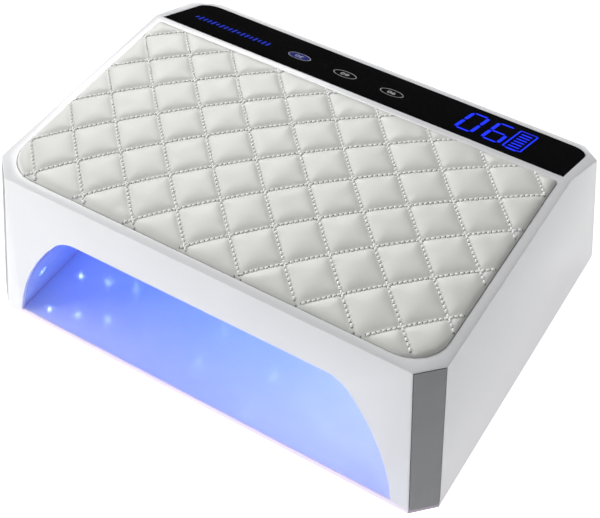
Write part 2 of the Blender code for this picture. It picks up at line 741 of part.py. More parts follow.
def make_chassis():
    """The rim plate under the housing's side and back spaces, with its screws and catch discs."""
    inset = WALL + GAP
    reach_x = half_width(CHASSIS_TOP_Z) - inset
    reach_y = half_depth(CHASSIS_TOP_Z) - inset
    leg = corner_leg(inset)
    inner_x = FOOT_X + LINER + CHASSIS_SIDE_GAP
    inner_y = TUNNEL_BACK_Y + LINER + GAP
    right = [
        (inner_x, inner_y), (inner_x, -reach_y), (reach_x - leg, -reach_y),
        (reach_x, leg - reach_y), (reach_x, reach_y - leg), (reach_x - leg, reach_y),
    ]
    outline = right + [(-x, y) for x, y in reversed(right)]
    mesh = plate_mesh("lower_chassis", outline, HOUSING_LOW_Z, CHASSIS_TOP_Z)
    chassis = add_piece("lower_chassis", mesh, DARK_PLASTIC, LAMP)
    low = HOUSING_LOW_Z + PART_RISE
    heads = rods_at(POST_PLACES, 0, low + SCREW_HEAD_HEIGHT + GAP)
    shanks = rods_at(POST_PLACES, 0, CHASSIS_TOP_Z + MM)
    discs = rods_at(MAGNET_PLACES, 0, low + MAGNET_HEIGHT + GAP)
    cut(
        chassis,
        add_cutter(cylinder_mesh("head_pockets", SCREW_HEAD_RADIUS + GAP, heads, BORE_SIDES)),
        add_cutter(cylinder_mesh("shank_holes", SCREW_SHANK_RADIUS + GAP, shanks, PIN_SIDES)),
        add_cutter(cylinder_mesh("disc_pockets", MAGNET_RADIUS + GAP, discs)),
    )
    disc = disc_profile(MAGNET_RADIUS, MAGNET_HEIGHT)
    turned_copies("catch_disc", MAGNET_PLACES, disc, STEEL, LAMP, low)
    head = SCREW_HEAD_RADIUS
    shank = SCREW_SHANK_RADIUS
    profile = [
        (0, SCREW_LENGTH), (shank, SCREW_LENGTH - shank), (shank, SCREW_HEAD_HEIGHT),
        (head, SCREW_HEAD_HEIGHT), (head, head / 5), (head * 0.8, 0), (0, 0),
    ]
    turned_copies("housing_screw", POST_PLACES, profile, STEEL, LAMP, low)


# ---------------------------------------------------------------- cushion


def make_cushion():
    low = RECESS_Z + GAP
    mesh = plate_mesh("cushion_cover", cushion_outline(0), low, CUSHION_TOP_Z)
    cover = add_piece("cushion_cover", mesh, CUSHION_SKIN, LAMP)
    inside = plate_mesh("cushion_inside", cushion_outline(-COVER), 0, CUSHION_TOP_Z - COVER)
    cut(cover, add_cutter(inside, LAMP))
    core = cushion_outline(-COVER - GAP)
    board_top = low + CUSHION_BOARD
    board = plate_mesh("cushion_board", core, low, board_top)
    add_piece("cushion_board", board, DARK_PLASTIC, LAMP)
    foam = plate_mesh("cushion_foam", core, board_top + GAP, CUSHION_TOP_Z - COVER - GAP)
    add_piece("cushion_foam", foam, FOAM, LAMP)


# ---------------------------------------------------------------- control panel


def make_panel():
    glass = plate_mesh("display_glass", glass_outline(0), -GLASS, 0)
    add_piece("display_glass", glass, BLACK_GLASS, PANEL)
    top = -GLASS - GAP
    bottom = -CONTROL_BOARD_DEPTH + GAP
    module = box_mesh("display_module", panel_box(DISPLAY_CENTRE, DISPLAY_SIZE, bottom, top))
    add_piece("display_module", module, DARK_PLASTIC, PANEL)
    pad = cylinder_mesh("touch_pad", TOUCH_RADIUS, rods_at([(0, 0)], bottom, top), BORE_SIDES)
    for number, x in enumerate(TOUCH_X, start=1):
        add_piece(f"touch_pad_{number}", pad, DARK_PLASTIC, PANEL, (x, TOUCH_Y, 0))
    face = -CONTROL_BOARD_DEPTH
    back = face - BOARD
    (low_x, high_x), (low_y, high_y) = CONTROL_BOARD_X, CONTROL_BOARD_Y
    board = box_mesh("control_board", ((low_x, low_y, back), (high_x, high_y, face)))
    control = add_piece("control_board", board, CIRCUIT_BOARD, PANEL)
    chips = [
        panel_box(Vector(centre) * MM, Vector(size) * MM, back - height * MM, back + CHIP_SINK)
        for centre, size, height in CONTROL_CHIPS
    ]
    unite(control, add_cutter(box_mesh("control_chips", *chips), PANEL))


# ---------------------------------------------------------------- tunnel and its LEDs


def make_liner():
    """The bright tunnel that throws the light onto the hand, closed at its back."""
    inner, outer = arch_outline(0, LINER_FOOT_Z), arch_outline(LINER, LINER_FOOT_Z)
    back_y = TUNNEL_BACK_Y + LINER
    arch = plate_mesh("reflector_liner", outer + inner[::-1], -TOP_HALF_Y - 3 * FAR, back_y - LINER / 2)
    liner = add_piece("reflector_liner", along_y(arch), LINER_PLASTIC, LAMP)
    wall = along_y(plate_mesh("liner_back", outer, TUNNEL_BACK_Y, back_y))
    unite(liner, add_cutter(wall, LAMP))
    limit = drafted_block("liner_limit", -FAR, TOP_Z, WALL + GAP)
    combine(liner, "INTERSECT", add_cutter(limit, LAMP))
    low, high = -MM, LINER + MM
    rods = side_rods(low, high, 1) + side_rods(low, high, -1) + roof_rods(low, high)
    cut(liner, add_cutter(cylinder_mesh("led_holes", LED_HOLE_RADIUS, rods, LED_SIDES), LAMP))
    eye = ((0, TUNNEL_BACK_Y - FAR, SENSOR_Z), (0, TUNNEL_BACK_Y + FAR, SENSOR_Z))
    hole = cylinder_mesh("sensor_hole", SENSOR_RADIUS + GAP, [eye], BORE_SIDES)
    cut(liner, add_cutter(hole, LAMP))


def add_leds(board, name, rods):
    unite(board, add_cutter(cylinder_mesh(name, LED_RADIUS, rods, LED_SIDES), LAMP))


def make_led_boards():
    low, high = LED_BOARD_OFFSET, LED_BOARD_OFFSET + LED_BOARD
    leans = spread(LED_BOARD_LOW_LEAN, SIDE_END_LEAN, SIDE_STEPS)
    face, root = LED_FACE_OFFSET, LED_BOARD_OFFSET + LED_ROOT
    for name, side in (("left", -1), ("right", 1)):
        inner = [(side * x, z) for x, z in (arch_point(lean, low) for lean in leans)]
        outer = [(side * x, z) for x, z in (arch_point(lean, high) for lean in leans)]
        strip = along_y(plate_mesh(f"led_board_{name}", outer + inner[::-1], *LED_BOARD_Y))
        board = add_piece(strip.name, strip, LED_BOARD_WHITE, LAMP)
        add_leds(board, f"leds_{name}", side_rods(face, root, side))
    sheet = ((*ROOF_BOARD_LOW, ROOF_Z + low), (*ROOF_BOARD_HIGH, ROOF_Z + high))
    roof = add_piece("led_board_roof", box_mesh("led_board_roof", sheet), LED_BOARD_WHITE, LAMP)
    add_leds(roof, "leds_roof", roof_rods(face, root))


def make_sensor():
    eye = [(0, y, SENSOR_Z) for y in SENSOR_Y]
    sensor = cylinder_mesh("hand_sensor", SENSOR_RADIUS, [eye], BORE_SIDES)
    add_piece("hand_sensor", sensor, DARK_PLASTIC, LAMP)


# ---------------------------------------------------------------- battery and power


def make_battery():
    reach = CELL_LENGTH / 2 + CELL_END_GAP
    margin = CELL_RADIUS + GAP
    inside_low = Vector((CELL_X[0] - reach, CELL_Y - margin, CELL_Z[0] - margin))
    inside_high = Vector((CELL_X[1] + reach, CELL_Y + margin + FAR, CELL_Z[1] + margin))
    wall = Vector((HOLDER_WALL, HOLDER_WALL, HOLDER_WALL))
    outside_high = inside_high + wall
    outside_high.y = CELL_Y + CELL_RADIUS
    block = box_mesh("battery_holder", (inside_low - wall, outside_high))
    holder = add_piece("battery_holder", block, DARK_PLASTIC, LAMP)
    cut(holder, add_cutter(box_mesh("battery_space", (inside_low, inside_high)), LAMP))
    edge = CELL_EDGE
    half = CELL_LENGTH / 2
    profile = [
        (0, half), (CELL_NUB_RADIUS, half), (CELL_NUB_RADIUS, half - edge),
        (CELL_RADIUS - edge, half - edge), (CELL_RADIUS, half - 2 * edge),
        (CELL_RADIUS, edge - half), (CELL_RADIUS - edge, -half), (0, -half),
    ]
    places = [(x, CELL_Y, z) for z in CELL_Z for x in CELL_X]
    along = (0, math.pi / 2, 0)
    mesh = None
    for number, spot in enumerate(places, start=1):
        cell = turned_piece(f"battery_cell_{number}", profile, CELL_WRAP, LAMP, spot, along, mesh)
        mesh = cell.data


def make_power_board():
    (low_x, high_x), (low_z, high_z) = POWER_BOARD_X, POWER_BOARD_Z
    face = POWER_BOARD_Y + BOARD
    sunk = face - CHIP_SINK
    board = box_mesh("power_board", ((low_x, POWER_BOARD_Y, low_z), (high_x, face, high_z)))
    power = add_piece("power_board", board, CIRCUIT_BOARD, LAMP)
    blocks = [
        ((x * MM, sunk, z * MM), (end_x * MM, face + height * MM, end_z * MM))
        for x, z, end_x, end_z, height in POWER_BLOCKS
    ]
    cans = [((x, sunk, z), (x, face + CAN_HEIGHT, z)) for x, z in CAN_PLACES]
    unite(power, add_cutter(box_mesh("power_blocks", *blocks), LAMP))
    unite(power, add_cutter(cylinder_mesh("power_cans", CAN_RADIUS, cans, BORE_SIDES), LAMP))
    make_heat_sink(face)
    tube_piece("battery_lead", BATTERY_LEAD, LEAD_RADIUS, WIRE_JACKET, LAMP)
    tube_piece("panel_lead", PANEL_LEAD, LEAD_RADIUS, WIRE_JACKET, LAMP)


def make_heat_sink(face):
    base_top = face + SINK_BASE
    low, high = (SINK_X[0], face + GAP, SINK_Z[0]), (SINK_X[1], base_top, SINK_Z[1])
    sink = add_piece("heat_sink", box_mesh("heat_sink", (low, high)), ALUMINIUM, LAMP)
    fin_low, fin_high = base_top - FIN_SINK, face + SINK_HEIGHT
    fins = [
        ((x, fin_low, SINK_Z[0]), (x + FIN_WIDTH, fin_high, SINK_Z[1]))
        for x in spread(SINK_X[0], SINK_X[1] - FIN_WIDTH, FIN_COUNT - 1)
    ]
    unite(sink, add_cutter(box_mesh("sink_fins", *fins), LAMP))


# ---------------------------------------------------------------- switch and jack


def back_box(x, half_x, half_y, low, high):
    """Low and high corner of a box in the back panel's frame, centred on x."""
    return (x - half_x, -half_y, low), (x + half_x, half_y, high)


def make_switch():
    body = back_box(SWITCH_X, *SWITCH_HALF, -SWITCH_DEPTH, BEZEL)
    rim = back_box(SWITCH_X, *BEZEL_HALF, GAP, BEZEL + GAP)
    switch = add_piece("switch_body", box_mesh("switch_body", body), DARK_PLASTIC, BACK)
    unite(switch, add_cutter(box_mesh("switch_bezel", rim), BACK))
    half_x, half_y = ROCKER_HALF
    well_half = (half_x + GAP, half_y + ROCKER_WELL_MARGIN)
    well = box_mesh("rocker_well", back_box(SWITCH_X, *well_half, -ROCKER_WELL_DEPTH, FAR))
    pivot = Vector((SWITCH_X, 0, -ROCKER_PIVOT_DEPTH))
    pin_end = Vector((half_x + MM, 0, 0))
    bore_end = pin_end + Vector((GAP, 0, 0))
    bore = cylinder_mesh(
        "pivot_bore", PIVOT_PIN_RADIUS + GAP, [(pivot - bore_end, pivot + bore_end)], BORE_SIDES
    )
    cut(switch, add_cutter(well, BACK), add_cutter(bore, BACK))
    low_end = half_y - ROCKER_TAPER
    outline = [
        (-half_y, ROCKER_THICKNESS), (-low_end, -ROCKER_THICKNESS), (low_end, -ROCKER_THICKNESS),
        (half_y, ROCKER_THICKNESS), (0, ROCKER_WAIST),
    ]
    paddle = along_x(plate_mesh("power_rocker", outline, -half_x, half_x))
    rocker = add_piece("power_rocker", paddle, DARK_PLASTIC, BACK, pivot, (-ROCKER_TILT, 0, 0))
    pin = cylinder_mesh("pivot_pin", PIVOT_PIN_RADIUS, [(-pin_end, pin_end)], PIN_SIDES)
    unite(rocker, add_cutter(pin, BACK, pivot))


def make_jack():
    block = back_box(JACK_X, *JACK_BLOCK_HALF, -JACK_BACK, -WALL - GAP)
    jack = add_piece("dc_jack", box_mesh("dc_jack", block), DARK_PLASTIC, BACK)
    centre = [(JACK_X, 0)]
    barrel = rods_at(centre, BACK_CUT[0], JACK_LIP)
    unite(jack, add_cutter(cylinder_mesh("jack_barrel", JACK_RADIUS, barrel), BACK))
    bore = rods_at(centre, -JACK_BORE_DEPTH, 2 * MM)
    cut(jack, add_cutter(cylinder_mesh("jack_bore", JACK_BORE_RADIUS, bore, BORE_SIDES), BACK))
    pin = rods_at(centre, -JACK_BORE_DEPTH - MM, JACK_PIN_TOP)
    unite(jack, add_cutter(cylinder_mesh("jack_pin", JACK_PIN_RADIUS, pin, PIN_SIDES), BACK))


make_tray()
make_housing()
make_chassis()
make_cushion()
make_panel()
make_liner()
make_led_boards()
make_sensor()
make_battery()
make_power_board()
make_switch()
make_jack()
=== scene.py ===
"""Looks of the UV LED nail lamp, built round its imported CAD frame. Metres, in the frame's own axes."""

import json
import math

import bmesh
import bpy
import numpy as np
from mathutils import Matrix, Vector
from mathutils.geometry import delaunay_2d_cdt

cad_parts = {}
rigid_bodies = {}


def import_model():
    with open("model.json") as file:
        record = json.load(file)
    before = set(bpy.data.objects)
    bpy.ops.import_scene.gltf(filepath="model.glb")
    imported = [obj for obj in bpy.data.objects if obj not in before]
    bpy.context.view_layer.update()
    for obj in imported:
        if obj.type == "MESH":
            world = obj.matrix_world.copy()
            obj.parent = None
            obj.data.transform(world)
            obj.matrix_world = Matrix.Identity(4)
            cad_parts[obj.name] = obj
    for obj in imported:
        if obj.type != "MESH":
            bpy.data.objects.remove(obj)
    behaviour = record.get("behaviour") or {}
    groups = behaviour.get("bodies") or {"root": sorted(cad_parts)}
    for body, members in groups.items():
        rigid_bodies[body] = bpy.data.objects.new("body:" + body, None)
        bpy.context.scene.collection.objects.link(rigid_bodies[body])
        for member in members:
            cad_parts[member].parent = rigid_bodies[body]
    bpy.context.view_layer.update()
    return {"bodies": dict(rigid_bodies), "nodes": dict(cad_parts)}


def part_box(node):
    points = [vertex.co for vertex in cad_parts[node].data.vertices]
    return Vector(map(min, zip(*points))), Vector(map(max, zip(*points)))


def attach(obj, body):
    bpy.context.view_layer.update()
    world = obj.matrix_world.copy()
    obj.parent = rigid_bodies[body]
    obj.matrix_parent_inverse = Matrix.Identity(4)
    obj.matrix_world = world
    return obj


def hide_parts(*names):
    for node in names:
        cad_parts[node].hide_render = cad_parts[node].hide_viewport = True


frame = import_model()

MM = 0.001
NODES = frame["nodes"]
MERGE_DISTANCE = 0.001 * MM
SHARP_ANGLE = math.radians(35)

# Housing and control panel
TOP_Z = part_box("outer_shell")[1].z
CREASE_Y = 44.1 * MM
PANEL_TILT = math.radians(22.96)
PANEL = Matrix.Translation((0, CREASE_Y, TOP_Z)) @ Matrix.Rotation(-PANEL_TILT, 4, "X")
PANEL_NORMAL = Vector((0, math.sin(PANEL_TILT), math.cos(PANEL_TILT)))
CONTROL_BOARD_DEPTH = 13.4 * MM
POWER_BOARD_Y = 61.8 * MM

# Tunnel's section: a long arc on each side, then the flat roof
FLOOR_Z = 5.2 * MM
ROOF_Z = 66.0 * MM
FOOT_X = 103.4 * MM
FOOT_LEAN = math.radians(8.7)
SIDE_RADIUS = 107.0 * MM

# LEDs: three rows in each side and three in the roof
LED_SIDE_LEANS = [math.radians(lean) for lean in (17.0, 25.4, 33.4)]
LED_ROOF_X = [x * MM for x in (-40.0, 0.0, 40.0)]
LED_FIRST_Y = -80.0 * MM
LED_PITCH = 26.0 * MM
LEDS_IN_ROW = 5
LED_FACE_DEPTH = 1.55 * MM
LED_COLOUR = (0.035, 0.15, 1.0)
LED_STRENGTH = 3.0
ROOF_LED_STRENGTH = 2.0
CORE_COLOUR = (0.55, 0.70, 1.0)
CORE_GAIN = 8.0
LENS_RADIUS = 2.45 * MM
LENS_SIDES = 16
LENS_PROFILE = (  # share of the radius, and height in mm
    (1.0, 0.004), (0.97, 0.012), (0.7, 0.018), (0.45, 0.02), (0.3, 0.02), (0.15, 0.02),
)

# Marks on the control glass, in the panel's own axes
INK = (0.015 * MM, 0.05 * MM)
FIGURE_Y = (9.4 * MM, 34.5 * MM)
FIGURES = (("abcdef", 51.7 * MM, 59.8 * MM), ("acdefg", 65.5 * MM, 73.6 * MM))
SEGMENT_WIDTH = 1.7 * MM
SEGMENT_GAP = 0.55 * MM
BATTERY_X = (76.4 * MM, 85.2 * MM)
BATTERY_MARGIN = 0.4 * MM
BATTERY_LINE = 0.8 * MM
BATTERY_CAP_HALF = 2.6 * MM
BATTERY_CAP_GAP = 1.1 * MM
BATTERY_CAP_WIDTH = 1.0 * MM
BATTERY_BARS = 6
BATTERY_BAR_INSET = 1.6 * MM
BATTERY_BAR_WIDTH = 1.4 * MM
BATTERY_BAR_FIRST = 3.4 * MM
BATTERY_BAR_PITCH = 3.7 * MM
KEY_X = [x * MM for x in (-39.0, -12.8, 13.4)]
KEY_Y = 19.2 * MM
KEY_RADII = (6.15 * MM, 4.25 * MM)
KEY_LINE = 0.27 * MM
KEY_LIGHT_INSET = 0.5 * MM
KEY_NUMBERS = ("30", "60", "90")
KEY_NUMBER_SIZE = 4.6 * MM
KEY_NUMBER_LIFT = 0.03 * MM
LEVEL_X = (-101.5 * MM, -56.0 * MM)
LEVEL_Y = 18.5 * MM
LEVEL_BARS = 18
LEVEL_BAR_WIDTH = 1.2 * MM
LEVEL_HALF_LENGTHS = (1.7 * MM, 3.0 * MM)
LEVEL_BEAT = 1.9

# Quilted pad
PAD_HALF_X = 108.7 * MM
PAD_FRONT_Y = -81.5 * MM
PAD_BACK_Y = 40.5 * MM
PAD_FRONT_RADIUS = 17.0 * MM
PAD_BACK_RADIUS = 2.0 * MM
PAD_EDGE_Z = 89.1 * MM
PAD_CREASE_Z = 89.5 * MM
PAD_TOP_Z = 90.9 * MM
PAD_UNDER_Z = 82.3 * MM
PAD_BOARD_TOP_Z = 84.4 * MM
BOARD_INSET = 1.15 * MM
RIM_STEPS = [  # inset and height of each ring of the pad below its top
    (0.05 * MM, 88.6 * MM), (0, 87.4 * MM), (0, 82.7 * MM), (0.3 * MM, PAD_UNDER_Z),
    (0.9 * MM, PAD_UNDER_Z), (BOARD_INSET, 82.7 * MM), (BOARD_INSET, PAD_BOARD_TOP_Z),
]
SHEET_INSET = 0.35 * MM
SHEET_RIM_PITCH = 1.6 * MM
SHEET_RIM_GAP = 1.2 * MM
ROW_UNIT = 0.1
ROWS = (-2, 16)
CELL_SIDE = 20.2 * MM
CELL_STEPS = 15
SHOULDER = 2.0 * MM
PUCKER_DEPTH = 0.45 * MM
PUCKER_REACH = 1.3 * MM
RIM_REACH = 1.2 * MM

# Cloth simulation of the pad's cover, and how much of it the pillows take
CLOTH_FRAMES = 20
CLOTH_QUALITY = 5
CLOTH_PRESSURE = 40.0
CLOTH_BENDING = 10.0
CLOTH_SLACK = 0.008
CLOTH_MASS = 0.01
CLOTH_START_LIFT = 0.3 * MM
SEWN_BY_SEAM = 0.1 * MM
SEWN_BY_RIM = 0.5 * MM
CLOTH_FULL_PERCENTILE = 98
CLOTH_HELD_BELOW = 0.02
CLOTH_MOST = 1.2
CLOTH_SHARE = 0.3
SMOOTHING_ROUNDS = 6
MOST_SHIFT = 0.25 * MM

# Stitches; widths and gaps of the painted seam shade and needle-hole shadows in the pad's colour are shares
# of a cell or of a stitch
STITCHES_PER_CELL = 9
STITCH_GAP = (0.07, 0.16)
SEAM_PAINTED_SHADE_WIDTH = (0.012, 0.045)
NEEDLE_PIT_AND_SHADOW_WIDTH = (0.014, 0.026)
ROW_SHIFT = 100.0
STITCH_HALF_SHARE = 0.4
STITCH_FROM_RIM = 0.45 * MM
THREAD_SIDES = 8
THREAD_RINGS = (  # share of the length, height over the crease and radius in mm
    (0.0, -0.25, 0.25), (0.12, 0.2, 0.42), (0.5, 0.38, 0.5), (0.88, 0.2, 0.42), (1.0, -0.25, 0.25),
)

# Studio
FLOOR_HALF = 6.0
FLOOR_GLOW = 0.55
FLOOR_GLOW_SEEN = 0.8
FLOOR_MIRRORED = 0.02
DARK_FROM_Y = 0.35
DARK_BY_Y = DARK_FROM_Y + 0.15
SKY_STRENGTH = 0.74
SKY_LOW_STRENGTH = 0.015
SKY_LOW_HEIGHT = -0.35
SKY_LEAN = (0.0, -0.6, 1.0)
CAMERA_LENS = 75.63
CAMERA_PLACE = (0.21727, -0.35689, 0.48834)
CAMERA_AIM = (0.003126, -0.006736, 0.019386)
LIGHTS = [  # name, place, aim, size and power
    ("key", (-1.15, -0.62, 0.62), (0, 0, 0.04), (0.9, 0.7), 14.0),
    ("back_left", (-0.75, 0.85, 0.95), (0, 0, 0.08), (0.9, 0.7), 14.0),
    ("right_fill", (1.3, 0.1, 0.7), (0, 0, 0.04), (1.0, 0.8), 4.0),
    ("front_fill", (0.55, -1.35, 0.3), (0.05, 0, 0.04), (0.7, 0.5), 1.0),
]
TUNNEL_LIGHTS = [  # name, place, size, power and colour; they shine straight down
    ("roof_glow", (0, -0.02, 65.5 * MM), (0.11, 0.12), 0.105, LED_COLOUR),
    ("pale_glow", (0.07, -0.055, 58 * MM), (0.04, 0.05), 0.016, (0.75, 0.83, 1.0)),
]


# ---------------------------------------------------------------- node helpers


class Shader:
    """A material with a Principled surface, and short calls for its nodes."""

    def __init__(self, name, **inputs):
        self.material = bpy.data.materials.new(name)
        self.material.use_nodes = True
        self.tree = self.material.node_tree
        self.surface = self.tree.nodes["Principled BSDF"]
        self.set(self.surface, **inputs)

    def feed(self, socket, value):
        """Links the value to the socket if it is one itself, or else sets it."""
        if isinstance(value, bpy.types.NodeSocket):
            self.tree.links.new(value, socket)
        elif isinstance(value, tuple) and socket.type == "RGBA" and len(value) == 3:
            socket.default_value = (*value, 1.0)
        else:
            socket.default_value = value

    def set(self, node, **inputs):
        for key, value in inputs.items():
            self.feed(node.inputs[key.replace("_", " ")], value)

    def add(self, kind, settings=None, **inputs):
        node = self.tree.nodes.new("ShaderNode" + kind)
        for key, value in (settings or {}).items():
            setattr(node, key, value)
        self.set(node, **inputs)
        return node

    def place(self, stretch=(1, 1, 1), space="Object"):
        """Coordinates of the piece in metres, stretched along each axis."""
        source = self.add("TexCoord").outputs[space]
        return self.add("Mapping", Vector=source, Scale=stretch).outputs["Vector"]

    def noise(self, scale, detail=3.0, stretch=(1, 1, 1), roughness=0.55):
        vector = self.place(stretch)
        node = self.add("TexNoise", Vector=vector, Scale=scale, Detail=detail, Roughness=roughness)
        return node.outputs["Fac"]

    def cells(self, scale, feature="F1"):
        node = self.add("TexVoronoi", {"feature": feature}, Vector=self.place(), Scale=scale)
        return node.outputs["Distance"]

    def remap(self, value, low, high, to_low=0.0, to_high=1.0):
        ends = {"From_Min": low, "From_Max": high, "To_Min": to_low, "To_Max": to_high}
        return self.add("MapRange", Value=value, **ends).outputs["Result"]

    def cloud(self, scale, detail=3.0, low=0.0, high=1.0):
        """Soft noise spread out from low to high."""
        return self.remap(self.noise(scale, detail), 0.3, 0.7, low, high)

    def maths(self, operation, first, second=0.0):
        node = self.add("Math", {"operation": operation})
        for socket, value in zip(node.inputs, (first, second)):
            self.feed(socket, value)
        return node.outputs[0]

    def mix(self, factor, first, second):
        """The first colour, the second, or what lies between them by this factor."""
        node = self.add("Mix", {"data_type": "RGBA"})
        sockets = (node.inputs["Factor"], node.inputs[6], node.inputs[7])
        for socket, value in zip(sockets, (factor, first, second)):
            self.feed(socket, value)
        return node.outputs[2]

    def bump(self, height, distance, strength=1.0, normal=None):
        node = self.add("Bump", Height=height, Distance=distance, Strength=strength)
        if normal:
            self.set(node, Normal=normal)
        return node.outputs["Normal"]

    def colour(self, value):
        self.set(self.surface, Base_Color=value)

    def axis(self, name, space="Object"):
        split = self.add("SeparateXYZ", Vector=self.place(space=space))
        return split.outputs[name]

    def seam(self, line, along):
        """Painted shade along the groove where the attribute line is a whole number, and painted shadow in
        the needle pits in the gaps between its stitches.

        ROW_SHIFT is a whole number that keeps both attributes above 0, which folds them rightly.
        """
        across = self.add("Attribute", {"attribute_name": line}).outputs["Fac"]
        phase = self.add("Attribute", {"attribute_name": along}).outputs["Fac"]
        off = self.maths("PINGPONG", self.maths("ADD", across, ROW_SHIFT), 0.5)
        step = self.maths("MULTIPLY", self.maths("ADD", phase, ROW_SHIFT), float(STITCHES_PER_CELL))
        gap = self.remap(self.maths("PINGPONG", step, 0.5), *STITCH_GAP, 1.0, 0.0)
        # painted shade across the seam's groove
        seam_painted_shade = self.remap(off, *SEAM_PAINTED_SHADE_WIDTH, 1.0, 0.0)
        # the needle pits in the gaps: a painted shadow in the colour, and a dent in the bump
        return seam_painted_shade, self.maths("MULTIPLY", self.remap(off, *NEEDLE_PIT_AND_SHADOW_WIDTH, 1.0, 0.0), gap)


def shade(colour, factor):
    return tuple(channel * factor for channel in colour)


def moulded(name, colour, roughness, grain=1800.0, depth=0.01 * MM, tint=0.04, wear=0.0, **inputs):
    """Moulded plastic: faint colour drift, handling marks in the gloss, a fine skin and worn edges."""
    made = Shader(name, **inputs)
    drift = made.cloud(35.0, 4.0)
    base = made.mix(drift, shade(colour, 1 - tint), shade(colour, 1 + tint))
    if wear:
        edge = made.remap(made.add("NewGeometry").outputs["Pointiness"], 0.52, 0.62)
        base = made.mix(made.maths("MULTIPLY", edge, wear), base, shade(colour, 1.25))
    made.colour(base)
    marks = made.remap(made.noise(45.0, 5.0), 0.3, 0.75, roughness * 0.94, roughness * 1.08)
    made.set(made.surface, Roughness=marks)
    made.set(made.surface, Normal=made.bump(made.noise(grain, 2.0), depth))
    return made.material


def brushed(name, colour, roughness, stretch, metallic=1.0, contrast=0.09, painted_light_gain_at_ground=1.0):
    """Brushed or satin metal, its grain drawn out along the axis with the least stretch.

    Painted light: from the lamp's top down to the ground it turns towards its paler grain, times the last
    argument's gain.
    """
    made = Shader(name, Metallic=metallic)
    grain = made.noise(900.0, 4.0, stretch)
    dark, light = shade(colour, 1 - contrast), shade(colour, 1 + contrast)
    base = made.mix(made.remap(grain, 0.35, 0.65), dark, light)
    # painted light: the colour turns paler towards the ground
    height = made.remap(made.axis("Z"), 0.0, TOP_Z)
    made.colour(made.mix(height, shade(light, painted_light_gain_at_ground), base))
    blotch = made.cloud(60.0, 4.0, -0.04, 0.05)
    streak = made.remap(grain, 0.3, 0.7, roughness - 0.06, roughness + 0.08)
    made.set(made.surface, Roughness=made.maths("ADD", streak, blotch))
    made.set(made.surface, Normal=made.bump(grain, 0.004 * MM))
    return made.material


def glowing(name, colour, strength):
    """Light behind a thin printed film, slightly uneven."""
    made = Shader(name, Roughness=0.3, Specular_IOR_Level=0.05)
    made.colour((0.006, 0.006, 0.01))
    level = made.cloud(400.0, 3.0, strength * 0.9, strength * 1.1)
    made.set(made.surface, Emission_Color=colour, Emission_Strength=level)
    return made.material


def printed(name, colour):
    """Ink screen-printed on glass."""
    made = Shader(name, Roughness=0.5)
    speck = made.cloud(3000.0, 3.0)
    made.colour(made.mix(speck, shade(colour, 0.85), shade(colour, 1.1)))
    return made.material


def black_glass():
    made = Shader("black_glass", Specular_IOR_Level=0.25)
    drift = made.remap(made.noise(25.0, 4.0), 0.35, 0.7)
    made.colour(made.mix(drift, (0.0022, 0.0022, 0.0024), (0.0035, 0.0035, 0.0037)))
    smear = made.noise(70.0, 7.0, (1.0, 2.5, 1.0), 0.7)
    made.set(made.surface, Roughness=made.remap(smear, 0.4, 0.8, 0.04, 0.16))
    made.set(made.surface, Normal=made.bump(made.noise(15.0, 2.0), 0.01 * MM, 0.3))
    return made.material


def mirror_sheet():
    """The floor's pale reflecting film, soft enough to smear each LED into a streak."""
    made = Shader("mirror_sheet", Metallic=0.15, Coat_Weight=0.6, Coat_Roughness=0.12)
    drift = made.cloud(30.0, 4.0)
    made.colour(made.mix(drift, (0.72, 0.74, 0.86), (0.78, 0.79, 0.90)))
    smear = made.noise(90.0, 6.0, (1.0, 1.6, 1.0), 0.65)
    made.set(made.surface, Roughness=made.remap(smear, 0.35, 0.75, 0.14, 0.22))
    made.set(made.surface, Normal=made.bump(made.noise(220.0, 3.0), 0.004 * MM))
    return made.material


def tray_plastic():
    """Pearly plastic with a painted pink-violet tint and a faint painted glow for the lamp's light, with the
    corner strips' silver on its cut corners.
    """
    made = Shader("tray_plastic", Roughness=0.3)
    # painted light: a faint pink-violet glow standing in for the lamp's light on the tray
    made.set(made.surface, Emission_Color=(0.85, 0.55, 1.0), Emission_Strength=0.10)
    drift = made.cloud(35.0, 4.0)
    # painted light: the lamp's pink-violet tint is put into the base colour
    base = made.mix(drift, (0.90, 0.82, 0.93), (0.93, 0.86, 0.96))
    normal = made.add("SeparateXYZ", Vector=made.add("NewGeometry").outputs["Normal"])
    across, along = (made.maths("ABSOLUTE", normal.outputs[name]) for name in ("X", "Y"))
    corner = made.maths("GREATER_THAN", made.maths("MINIMUM", across, along), 0.5)
    made.colour(made.mix(corner, base, (0.30, 0.30, 0.31)))
    made.set(made.surface, Metallic=made.maths("MULTIPLY", corner, 0.6))
    made.set(made.surface, Normal=made.bump(made.noise(1800.0, 2.0), 0.01 * MM))
    return made.material


def circuit_board(name, normal, face):
    """Solder mask with copper traces and pads; what stands proud of the face along normal is dark."""
    made = Shader(name)
    green = (0.015, 0.14, 0.06)
    point = made.place()
    height = made.add("VectorMath", {"operation": "DOT_PRODUCT"})
    made.feed(height.inputs[0], point)
    made.feed(height.inputs[1], normal)
    parts = made.remap(height.outputs["Value"], face, face + 0.2 * MM)
    brick = made.add("TexBrick", Vector=point, Scale=160.0, Mortar_Size=0.012)
    pads = made.remap(made.cells(260.0), 0.16, 0.12)
    traces = made.remap(brick.outputs["Fac"], 0.0, 1.0)
    mask = made.mix(made.cloud(150.0), shade(green, 0.8), shade(green, 1.15))
    board = made.mix(made.maths("MULTIPLY", traces, 0.6), mask, shade(green, 2.2))
    board = made.mix(pads, board, (0.62, 0.60, 0.55))
    chips = made.mix(made.cloud(900.0), (0.012, 0.012, 0.014), (0.03, 0.03, 0.03))
    made.colour(made.mix(parts, board, chips))
    made.set(made.surface, Roughness=made.cloud(300.0, 3.0, 0.3, 0.5))
    made.set(made.surface, Normal=made.bump(made.maths("ADD", traces, pads), 0.03 * MM))
    return made.material


